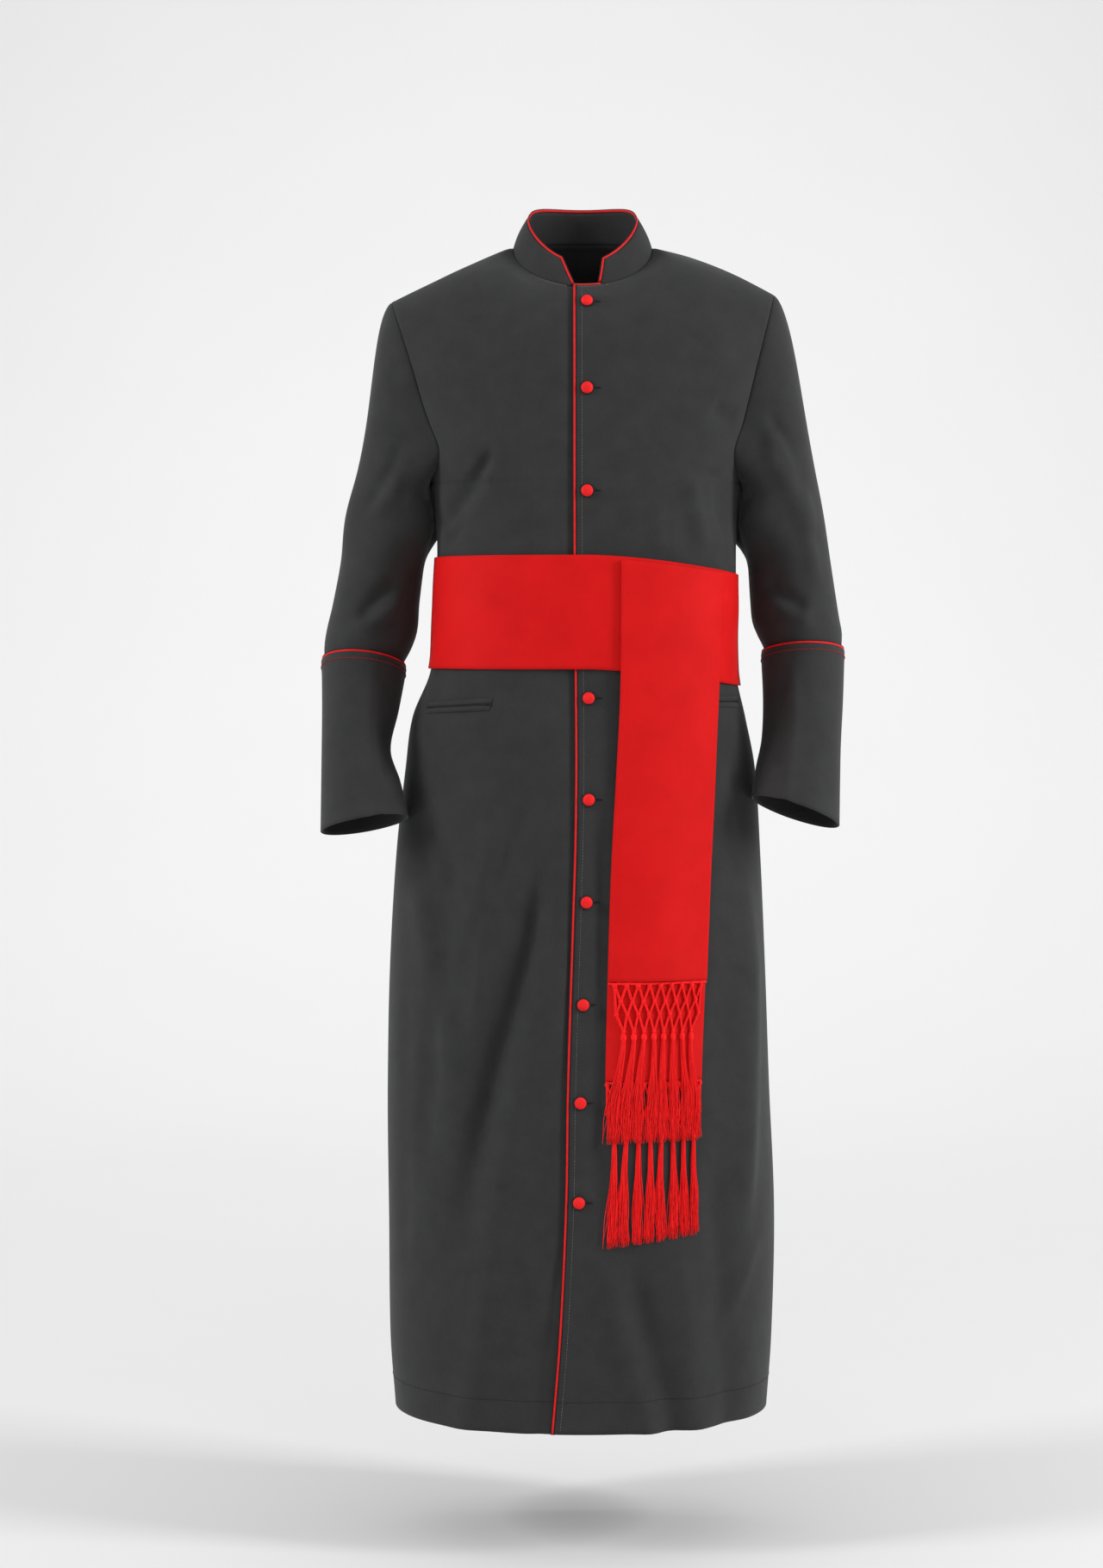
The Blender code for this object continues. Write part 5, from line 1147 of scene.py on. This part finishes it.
def build_cuff(side):
    """A deep cuff, the piping round its top edge and the stitched line below it."""
    label = LABELS[side]
    rings = CUFF_RINGS[side]
    places = np.linspace(0.0, 2.0, CUFF_PIECES, endpoint=False)
    grid = arm_rings(rings, side, np.linspace(rings[0][0], rings[-1][0], CUFF_ROWS), places)
    normals = ring_normals(grid)
    rise = fold_rise(grid, normals, CUFF_FOLDS[side], open_foot=rings[-1][0] + CUFF_MOUTH)
    rise = rise + drape(grid * DRAPE_SCALE["cuff"]) * DRAPE_SHARE["cuff"]
    hold = ease(np.arange(len(grid)), 0.0, SEAM_HOLD)
    grid = grid + normals * (rise * hold[:, None])[..., None]
    normals = ring_normals(grid)
    cuff = cloth_piece("cuff_cloth_" + label, "cuff_" + label, grid, normals, loop=True)

    upward = unit(grid[0] - grid[1])
    line = grid[0] - normals[0] * CLOTH * CUFF_PIPING_INSET[side] + upward * PIPING_OFFSET
    build_piping("cuff_piping_cloth_" + label, line, normals[0], "cuff_piping_" + label, closed=True)

    place = CUFF_STITCH_DISTANCE / length(grid[1] - grid[0]).mean()
    row, part = int(place), place - int(place)
    seam = between(grid[row], grid[row + 1], part)
    seam, outward = (np.vstack([line, line[:1]]) for line in (seam, normals[row]))
    add_detail("cuff_stitching_" + label, stitches(seam, outward, CUFF_THREAD), RED_THREAD)


def build_piping(name, line, refs, node, closed=False):
    """Covered cord, and a dark line on each side of it, partly the thread that holds it on and partly
    painted shadow in the gap beside it.
    """
    cord = new_mesh(name, *tube_parts(line, refs, PIPING_RADIUS, 12, closed))
    new_piece(name, cord, PIPING_CLOTH, [node])
    tangents = tangents_along(line, closed)
    aside = unit(np.cross(tangents, refs))
    outward = unit(np.cross(aside, tangents))
    # the dark lines beside the piping are partly seam thread, partly painted shadow
    distance, height, radius = PIPING_SEAM_AND_SHADE
    seams_and_shade = [tube_parts(line + aside * sign * distance + outward * height, refs, radius, 6, closed)
             for sign in (-1, 1)]
    add_detail(name + "_seams_and_shade", seams_and_shade, DARK_THREAD_AND_SHADE)


# Collar
def collar_top(turn):
    along = np.cos(turn)
    depth = np.where(along > 0, COLLAR_TOP_DEPTH[0], COLLAR_TOP_DEPTH[1])
    low, level, high = (COLLAR_TOP_HEIGHTS[name] for name in ("front", "side", "back"))
    height = level + (low - high) / 2 * along + ((low + high) / 2 - level) * along ** 2
    return np.stack([COLLAR_TOP_HALF_WIDTH * np.sin(turn), -depth * along, height], axis=-1)


def beside_edge(edge, facings, distance):
    """Line of points beside a wall's edge, square to the edge and in the wall's own surface."""
    return edge + unit(np.cross(facings, tangents_along(edge))) * distance


def build_collar(grids, normals):
    """Stand collar from the neck edge up, with piping along its three free sides."""
    last = grids["right"].shape[1] - len(UNDERLAP_STEPS) + COLLAR_RIGHT_STEP
    spots = (
        ("left", -1, np.arange(LAP_PIECES, LAP_PIECES + NECK_FRONT_PIECES + 1)),
        ("back", -1, np.arange(SHOULDER_PIECES + 1, SHOULDER_PIECES + 2 * NECK_BACK_PIECES)),
        ("right", -1, np.arange(SHOULDER_PIECES, last + 1)),
    )
    base = gather(grids, spots)
    depth = np.where(base[:, 1] < 0, NECK_FRONT[0], NECK_BACK[0])
    turns = np.arctan2(base[:, 0] / NECK_HALF_WIDTH, -base[:, 1] / depth) % (2 * math.pi)
    share = (turns - turns[0]) / (turns[-1] - turns[0])
    edge = collar_top(between(COLLAR_TOP_ENDS[LEFT], 2 * math.pi - COLLAR_TOP_ENDS[RIGHT], share))
    away = unit(base * np.array([1.0, 1.0, 0.0]))
    steps = np.linspace(0.0, 1.0, COLLAR_ROWS)[:, None, None]
    grid = between(base, edge, steps) + away * COLLAR_BOW * np.sin(math.pi * steps)
    collar_normals = grid_normals(grid)
    collar_normals[0] = unit(gather(normals, spots) + collar_normals[0])
    hand_out(normals, spots, collar_normals[0])
    piece = cloth_piece("collar_cloth", "collar", grid, collar_normals)

    middle = grid - collar_normals * CLOTH / 2
    line, facings = (np.vstack([part[1:, 0], part[-1, 1:-1], part[:0:-1, -1]])
                     for part in (middle, collar_normals))
    build_piping("collar_piping_cloth", beside_edge(line, facings, PIPING_OFFSET), facings, "collar_piping")


# Front closure
def lap_line(grids, normals, distance):
    """Points and outward directions along the left front, a distance in from its lap edge."""
    place = distance / (COLLAR_STEP / LAP_PIECES)
    column, part = int(place), place - int(place)
    line, outward = (between(grid[:, column], grid[:, column + 1], part)
                     for grid in (grids["left"], normals["left"]))
    return line, unit(outward)


def at_height(line, outward, height):
    spot = at_places(line[:, 2], np.hstack([line, outward]), height)
    return spot[:3], unit(spot[3:])


def build_front_piping(grids, normals):
    """Piping beside the lap edge from the hem up, then along the top edge to the collar's end."""
    grid, facing = grids["left"], normals["left"]
    across = unit(grid[:, 0] - grid[:, 1]) * PIPING_OFFSET
    upward = unit(grid[-1] - grid[-2]) * PIPING_OFFSET
    last = LAP_PIECES + 1
    corner = grid[-1:, 0] + across[-1:] + upward[:1]
    path = np.vstack([grid[:-1, 0] + across[:-1], corner, grid[-1, 1:last] + upward[1:last]])
    refs = np.vstack([facing[:, 0], facing[-1, 1:last]])
    build_piping("front_piping_cloth", path - refs * PIPING_DEPTH, refs, "front_piping")


# Half section of a button: part of its radius, height over its seat
BUTTON_PROFILE = (
    (0.0, 0.0049), (0.30, 0.0048), (0.55, 0.0044), (0.75, 0.0038), (0.90, 0.0030), (0.98, 0.0021),
    (1.0, 0.0014), (0.97, 0.0008), (0.88, 0.0004), (0.60, 0.0003), (0.0, 0.0003),
)
BUTTON_SIDES = 40
SHADE_RING_PIECES = 36
PUCKER = 0.006


def round_about(facing, sides):
    """Directions all round a button, square to the way it faces."""
    across = unit(np.cross(facing, UP))
    angles = np.linspace(0.0, 2 * math.pi, sides, endpoint=False)[:, None]
    return across * np.cos(angles) + np.cross(across, facing) * np.sin(angles)


def build_button(number, spot, facing):
    """Covered button: a flat dome turned about the line that faces out of the front."""
    part, height = np.array(BUTTON_PROFILE[1:-1]).T[:, :, None]
    angles = np.linspace(0.0, 2 * math.pi, BUTTON_SIDES, endpoint=False)
    radius = BUTTON_RADIUS * part * (1 + PUCKER * np.sin(9 * angles + number) * (part > 0.85))
    rings = spot + round_about(facing, BUTTON_SIDES) * radius[..., None] + facing * height[..., None]
    top, foot = (spot + facing * BUTTON_PROFILE[row][1] for row in (0, -1))
    points = np.vstack([rings.reshape(-1, 3), top, foot])
    faces = grid_faces(len(part), BUTTON_SIDES, True).tolist()
    last_ring = len(points) - 2 - BUTTON_SIDES
    for side in range(BUTTON_SIDES):
        after = (side + 1) % BUTTON_SIDES
        faces.append([len(points) - 2, after, side])
        faces.append([len(points) - 1, last_ring + side, last_ring + after])
    name = "button_cloth_%d" % number
    mesh = new_mesh(name, points, faces)
    fix_normals(mesh)
    new_piece(name, mesh, BUTTON_CLOTH, ["button_%d" % number])


def button_shade_ring(spot, facing):
    """Painted shadow: a dark ring round the button's foot, just wider than the button, where the gap under
    it is in shade.
    """
    radius, height, thickness = BUTTON_SHADE_RING
    ring = spot + round_about(facing, SHADE_RING_PIECES) * radius + facing * height
    return tube_parts(ring, facing, thickness, 8, closed=True)


def build_closure(grids, normals):
    """Buttons with their dark rings of painted shadow and buttonholes, and the topstitched line beside the
    lap edge.
    """
    line, outward = lap_line(grids, normals, BUTTON_EDGE_DISTANCE)
    bars, shade_rings = [], []
    for number, height in enumerate(BUTTON_HEIGHTS, start=1):
        spot, facing = at_height(line, outward, height)
        bars += buttonhole(spot, facing)
        turned = unit(facing + BUTTON_TURN)
        slope = 1 - (facing * turned).sum()
        seat = spot + facing * (SEAM_GAP + BUTTON_LIFT * slope)
        build_button(number, seat, turned)
        shade_rings.append(button_shade_ring(seat, turned))
    # the dark rings round the buttons are painted shadow, not thread
    add_detail("button_rims", shade_rings, DARK_THREAD_AND_SHADE)
    add_detail("buttonholes", bars, DARK_THREAD_AND_SHADE)
    seam = stitches(*lap_line(grids, normals, TOPSTITCH_DISTANCE), TOPSTITCH_THREAD, first=0.004)
    add_detail("topstitching", seam, PALE_THREAD)


def buttonhole(spot, facing):
    """Worked bar of short satin stitches that shows beside a button."""
    across = unit(np.cross(UP, facing))
    upward = np.cross(facing, across)
    reaches, radii = zip(*BAR_LINE)
    parts = []
    for place in np.arange(*BUTTONHOLE, BAR_PITCH):
        middle = spot + across * place + facing * BAR_LIFT
        parts.append(tube_parts([middle + upward * reach for reach in reaches], facing, radii, 5))
    return parts


def build_hem_stitching(grids, normals):
    """Blind stitches all round, where the hem's turned-up edge is caught."""
    row = int(np.searchsorted(LEVEL_HEIGHTS, HEM_HEIGHT))
    parts = []
    for name, grid in grids.items():
        parts += stitches(grid[row], normals[name][row], HEM_THREAD)
    add_detail("hem_stitching", parts, DARK_THREAD_AND_SHADE)


def build_collar_tacks(grids, normals):
    """Two short pale stitches on each front, just below the collar's ends."""
    reaches, radii = zip(*TACK_LINE)
    parts = []
    for side, label in LABELS.items():
        grid = grids[label]
        for place in (COLLAR_TACKS[side] - TACK_SPREAD, COLLAR_TACKS[side] + TACK_SPREAD):
            column = np.argmin(np.abs(grid[-1, :, 0] - place))
            edge, facing = grid[-1, column], normals[label][-1, column]
            start = np.array([place, edge[1], edge[2]]) + facing * TACK_LIFT
            down = unit(grid[-3, column] - edge)
            parts.append(tube_parts([start + down * reach for reach in reaches], facing, radii, 6))
    add_detail("collar_tacks", parts, PALE_THREAD)


# Section of a pair of welts: part of the half width, height over the cloth
WELT_PROFILE = (
    (-1.0, 0.0008), (-0.95, 0.0015), (-0.80, 0.0024), (-0.55, 0.0029), (-0.30, 0.0027),
    (-0.13, 0.0018), (-0.05, 0.0008), (0.05, 0.0008), (0.13, 0.0018), (0.30, 0.0027),
    (0.55, 0.0029), (0.80, 0.0024), (0.95, 0.0015), (1.0, 0.0008),
)


def build_welts():
    """Two narrow rounded welts with a slit between them on each front."""
    place, rise = np.array(WELT_PROFILE).T[:, :, None]
    part = np.linspace(0.0, 1.0, WELT_PIECES)[None, :]
    lowest = OVERLAY_GAP + 0.0002
    ends = ease(part, 0.0, 0.05) * ease(1 - part, 0.0, 0.05)
    rise = lowest + np.maximum(rise - lowest, 0.0) * ends
    for side, ((inner_x, inner_z), (outer_x, outer_z)) in WELTS.items():
        height = between(inner_z, outer_z, part) + place * WELT_HALF_WIDTH
        turn = between(turn_at(inner_z, inner_x), turn_at(outer_z, outer_x), part)
        points, outward = body_points(height, turn)
        outer = points + outward * rise[..., None]
        label = LABELS[side]
        piece = cloth_piece("pocket_welt_cloth_" + label, "pocket_welt_" + label, outer, outward,
                            thickness=(rise - OVERLAY_GAP)[..., None])
        build_slit_shade(label, points, outward)


def build_slit_shade(label, points, outward):
    """Painted shade in the pocket slit between the welts: a dark tube, wider toward its ends."""
    middle = len(points) // 2
    line = (points[middle - 1] + points[middle]) / 2
    facing = unit(outward[middle])
    height, half_width = WELT_SLIT_SHADE
    radii = half_width * (0.8 + 1.1 * np.abs(np.linspace(-1.0, 1.0, len(line))) ** 6)
    radii[[0, -1]] *= 0.4
    slit = tube_parts(line + facing * height, facing, radii, 8)
    # the dark tube in the slit is painted shade, not cloth
    add_detail("pocket_slit_shade_" + label, [slit], DARK_THREAD_AND_SHADE)


# Cincture
def band_drop(turn):
    return BAND_DROP * np.maximum(np.sin(turn), 0.0) ** 1.6


def band_swell(height, turn):
    """Slight slack of the band between its edges."""
    part = (BAND_TOP - height) / (BAND_TOP - BAND_FOOT)
    slack = 0.00048 * np.sin(math.pi * part) * (1 + np.sin(7 * turn + 2 * part))
    wave = 0.00040 * np.sin(11 * turn + 9 * part) * np.sin(5 * turn - 4 * part)
    return slack + wave


def build_band():
    """Closed band round the waist, a little lower at the wearer's left."""
    height = np.linspace(BAND_FOOT, BAND_TOP, BAND_ROWS)[:, None]
    turn = np.linspace(0.0, 2 * math.pi, BAND_PIECES, endpoint=False)[None, :]
    points, outward = body_points(height - band_drop(turn), turn)
    outer = points + outward * (BAND_GAP + BAND_THICKNESS + band_swell(height, turn))[..., None]
    piece = cloth_piece("cincture_band_cloth", "cincture_band", outer, outward,
                        BAND_WALL, loop=True, cincture=BAND_CLOTH)


def fall_place(height, part, layer):
    """Inner face of a fall at a height, part of its width from its left edge in the photo's view."""
    left, right = (turn_at(height, table_value(FALL_COLUMNS, FALL_LINE, name, height))
                   for name in FALL_COLUMNS[1:])
    points, outward = body_points(height, between(left, right, part))
    fall = FALLS[layer]
    return points, outward, between(fall["over_skirt"], fall["over_band"], ease(height, *EASE_HEIGHTS))


def fall_slack(height, part):
    """Soft lengthwise waves of the front fall, which hangs free below the band."""
    free = ease(-height, 0.56, 0.80)
    wave = np.sin(2 * math.pi * (part * 1.15 + 0.5 * height) + 0.6) * 0.0016
    curl = 0.0012 * np.cos(math.pi * part) ** 6
    return free * np.maximum(wave + curl + 0.0008, 0.0)


def build_fall(layer):
    """One hanging end of the band, down to its fringe."""
    top, end = BAND_TOP - FALL_TUCK, FALLS[layer]["end"]
    part = np.linspace(0.0, 1.0, FALL_PIECES)[None, :]
    rows = np.linspace(0.0, 1.0, FALL_ROWS)[:, None]
    height = between(end, top - band_drop(np.radians(between(*FALL_BAND_TURN, part))), rows)
    points, outward, over = fall_place(height, part, layer)
    rise = over + FALL_THICKNESS
    if layer == "front":
        rise = rise + fall_slack(height, part)
    outer = points + outward * rise[..., None]
    piece = cloth_piece("cincture_%s_fall_cloth" % layer, "cincture_%s_fall" % layer, outer,
                        grid_normals(outer), FALL_WALL, cincture=FALL_CLOTH[layer])
    edge_stitching(layer, outer)


def edge_stitching(layer, outer):
    """Fine stitched line just inside a fall's two long edges."""
    parts = []
    outward = grid_normals(outer)
    for column, other in ((1, 2), (-2, -3)):
        line = outer[:, column] * 0.6 + outer[:, other] * 0.4
        parts += stitches(line, outward[:, column], FALL_THREAD, first=0.003, sides=4)
    add_detail("cincture_%s_stitching" % layer, parts, FRINGE_YARN)


# Fringe: flat coordinates are u across from the middle, v down, and w out of the cloth
def net_node(layer, level, place):
    pitch = FRINGE_WIDTH * NET_NARROWING[layer][level] / (NET_KNOTS - 1)
    return np.array([pitch * (place - (NET_KNOTS - 1) / 2), NET_LEVELS[level]])


def net_places(level):
    """Places of a level's knots; every second level has one fewer, half a step over."""
    if level % 2:
        return [knot + 0.5 for knot in range(NET_KNOTS - 1)]
    return range(NET_KNOTS)


def net_cords(layer):
    """The net's cords as pairs of nodes."""
    cords = []
    for level in range(3):
        for place in net_places(level):
            for step in (-0.5, 0.5):
                if 0 <= place + step <= NET_KNOTS - 1:
                    cords.append((net_node(layer, level, place), net_node(layer, level + 1, place + step)))
    for knot in (0, NET_KNOTS - 1):
        cords.append((net_node(layer, 0, knot), net_node(layer, 2, knot)))
    return cords


def twisted(start, end, depth, turns, phase):
    """Two-ply cord between two flat points."""
    part = np.linspace(0.0, 1.0, max(6, int(turns * 7)))[:, None]
    line = between(start, end, part)
    direction = unit(end - start)
    square = np.array([-direction[1], direction[0]])
    tubes = []
    for ply in (0.0, math.pi):
        angle = 2 * math.pi * turns * part + ply + phase
        flat = line + square * np.cos(angle) * NET_CORD * PLY_REACH
        lift = depth + np.sin(angle) * NET_CORD * PLY_REACH
        tubes.append(tube_parts(np.hstack([flat, lift]), OUT_OF_CLOTH, NET_CORD * PLY_RADIUS, 5))
    return tubes


def knot_parts(spot, width, height, depth, lean):
    """A small firm knot: a wrapped bead, wider than it is deep."""
    parts = []
    rings = 6
    for ring in range(rings):
        place = (ring + 0.5) / rings * 2 - 1
        reach = math.sqrt(max(1 - place ** 2, 0.05))
        angles = np.linspace(0.0, 2 * math.pi, 12, endpoint=False)
        u = spot[0] + np.cos(angles) * width * reach
        v = spot[1] + place * height + np.cos(angles) * lean
        w = depth + np.sin(angles) * width * 0.75 * reach
        line = np.column_stack([u, v, w])
        parts.append(tube_parts(line, (0.0, 1.0, 0.0), height / rings * 1.5, 5, closed=True))
    return parts


def tassel_parts(layer, number, depth):
    """One tassel: a bound head and a bundle of yarn ends that opens toward the tips."""
    lean, phase = FRINGE_LEAN[layer], TASSEL_PHASE[layer]
    head = net_node(layer, 3, number + 0.5)
    top = np.array([head[0], head[1] + TASSEL_DROP])
    spread = FRINGE_WIDTH * 0.98 / (NET_KNOTS - 1)
    parts = knot_parts(top + np.array([0.0, HEAD_DROP]), *TASSEL_HEAD, depth + 0.0004, 0.0005)
    sway = 0.0016 * math.sin(number * 2.3 + phase)
    for strand in range(STRANDS):
        golden = strand * GOLDEN_TURN + number
        reach = math.sqrt((strand + 0.5) / STRANDS)
        side, out = reach * math.cos(golden), reach * math.sin(golden)
        length_now = FRINGE_LENGTH + 0.0035 * math.sin(strand * 5.1 + number * 1.7)
        bottom = (number - (NET_KNOTS - 2) / 2) * spread + side * spread * TASSEL_OPENING[layer]
        stray = 0.0060 * math.sin(strand * 7.7 + number * 3.1) * (strand % 6 == 0)
        places = np.linspace(0.0, 1.0, 15)
        opening = ease(places, 0.02, 0.75)
        v = top[1] + places * (length_now - lean * bottom - top[1])
        u = top[0] + side * KNOT * (1 - opening) + (bottom - top[0]) * opening
        u = u + sway * np.sin(math.pi * places) + stray * places ** 2
        u = u + 0.0011 * np.sin(places * (9 + strand % 7) + golden) * places
        w = depth + out * (0.0019 - 0.0003 * opening) + 0.0003 * np.sin(places * 11 + golden)
        radius = YARN_RADIUS * (1 - 0.25 * places ** 3)
        parts.append(tube_parts(np.column_stack([u, v, w]), OUT_OF_CLOTH, radius, 4))
    return parts


def build_fringe(layer):
    """Knotted net and tassels, made flat and then laid on the surface below the fall."""
    depth = FRINGE_DEPTH
    parts = []
    half = FRINGE_WIDTH / 2
    heading = np.linspace(-half + 0.0005, half - 0.0005, HEADING_POINTS)
    for v, w, radius in ((0.0009, 0.0010, 0.0008), (0.0022, 0.0011, 0.0008)):
        wavy = v + 0.0002 * np.sin(heading * 2600)
        line = np.column_stack([heading, wavy, np.full(HEADING_POINTS, w)])
        parts.append(tube_parts(line, OUT_OF_CLOTH, radius, 6))
    for number, (start, end) in enumerate(net_cords(layer)):
        turns = float(length(end - start)[0]) / CORD_PITCH
        parts += twisted(start, end, depth, turns, number * 1.9)
    for level in range(len(NET_LEVELS)):
        for knot, place in enumerate(net_places(level)):
            size = KNOT * ((1.15 if level == 0 else 0.95) + 0.10 * math.sin(knot * 3.7 + level))
            spot = net_node(layer, level, place)
            parts += knot_parts(spot, size, size, depth + 0.0002, 0.0005 * math.cos(knot + level))
    for number in range(NET_KNOTS - 1):
        parts += tassel_parts(layer, number, depth)
    flat, faces = joined(parts)
    height = FALLS[layer]["end"] - SEAM_GAP - flat[:, 1]
    points, outward, over = fall_place(height, 0.5 + flat[:, 0] / FRINGE_WIDTH, layer)
    placed = points + outward * (over + flat[:, 2] - FRINGE_SINK)[:, None]
    name = "cincture_%s_fringe_yarn" % layer
    new_piece(name, new_mesh(name, placed, faces), FRINGE_YARN, ["cincture_%s_fringe" % layer])


def build_panels(grids, normals):
    """The two fronts and the back, after every seam has its shared direction."""
    sheets = {"right": ("front_cloth_right", "right_front", (0.46, 1.42), 0.46),
              "left": ("front_cloth_left", "left_front", (0.46, 1.42), 0.46),
              "back": ("back_cloth", "back", (0.74, 1.42), 0.80)}
    for name, (label, node, flat, area) in sheets.items():
        piece = cloth_piece(label, node, grids[name], normals[name])


# Studio
FLOOR_HEIGHT = -1.535
CAMERA_PLACE = (-0.0372, -4.260, -0.4845)
CAMERA_TILT = math.radians(1.346)
CAMERA_SHIFT = -0.030
PHOTO_HEIGHT = 1820
FOCAL_PIXELS = 4120.5
SENSOR = 36.0
FLOOR_REACH, FLOOR_BEND, FLOOR_DEPTH, FLOOR_RISE = 10.0, 4.5, 7.5, 6.5
FLOOR_COLOUR = (0.72, 0.72, 0.72)
WORLD_STRENGTH = 0.60
# Lights: name, place, target, size, watts
LIGHTS = (
    ("left light", (-3.2, -1.3, 0.9), (0.0, 0.0, -0.7), (0.9, 2.0), 78),
    ("right light", (3.2, -1.2, 0.7), (0.0, 0.0, -0.7), (0.9, 2.0), 96),
    ("backdrop light", (0.0, 3.0, 2.9), (0.0, 6.2, -0.3), (6.0, 1.0), 130),
)


def build_floor():
    """Pale floor that curves up, far behind, into a backdrop."""
    flat_end = FLOOR_DEPTH - FLOOR_BEND
    profile = [(-FLOOR_REACH, 0.0), (flat_end, 0.0)]
    profile += [(flat_end + FLOOR_BEND * math.sin(angle), FLOOR_BEND - FLOOR_BEND * math.cos(angle))
                for angle in np.linspace(0.0, math.pi / 2, 40)[1:]]
    profile.append((FLOOR_DEPTH, FLOOR_RISE))
    points = [(x, y, FLOOR_HEIGHT + z) for y, z in profile for x in (-FLOOR_REACH, FLOOR_REACH)]
    mesh = new_mesh("studio floor", points, grid_faces(len(profile), 2, False))
    mesh.materials.append(plain_paint("pale floor", FLOOR_COLOUR, 0.9))
    add_object("studio_floor", mesh)


def area_light(name, place, target, size, power):
    light = bpy.data.lights.new(name, "AREA")
    light.shape = "RECTANGLE"
    light.size, light.size_y = size
    light.energy = power
    item = add_object(name, light)
    item.location = place
    item.rotation_euler = (Vector(target) - Vector(place)).to_track_quat("-Z", "Y").to_euler()


def build_studio():
    """Floor, lights, air and the camera at the photo's angle."""
    build_floor()
    for light in LIGHTS:
        area_light(*light)
    world = bpy.data.worlds.new("studio air")
    bpy.context.scene.world = world
    world.use_nodes = True
    world.node_tree.nodes["Background"].inputs["Color"].default_value = (1.0, 1.0, 1.0, 1.0)
    world.node_tree.nodes["Background"].inputs["Strength"].default_value = WORLD_STRENGTH
    camera = bpy.data.cameras.new("photo camera")
    camera.sensor_fit = "VERTICAL"
    camera.sensor_height = SENSOR
    camera.lens = SENSOR * FOCAL_PIXELS / PHOTO_HEIGHT
    camera.shift_y = CAMERA_SHIFT
    item = add_object("photo_camera", camera)
    item.location = CAMERA_PLACE
    item.rotation_euler = (math.pi / 2 - CAMERA_TILT, 0.0, 0.0)
    bpy.context.scene.camera = item
    bpy.context.scene.view_settings.view_transform = "Standard"


def main():
    grids, normals = fine_body()
    join_seams(grids, normals)
    for side in (LEFT, RIGHT):
        set_in_sleeve(grids, normals, side)
        build_cuff(side)
    build_collar(grids, normals)
    build_panels(grids, normals)
    build_front_piping(grids, normals)
    build_closure(grids, normals)
    build_welts()
    build_hem_stitching(grids, normals)
    build_collar_tacks(grids, normals)
    build_band()
    for layer in ("back", "front"):
        build_fall(layer)
        build_fringe(layer)
    build_studio()


main()
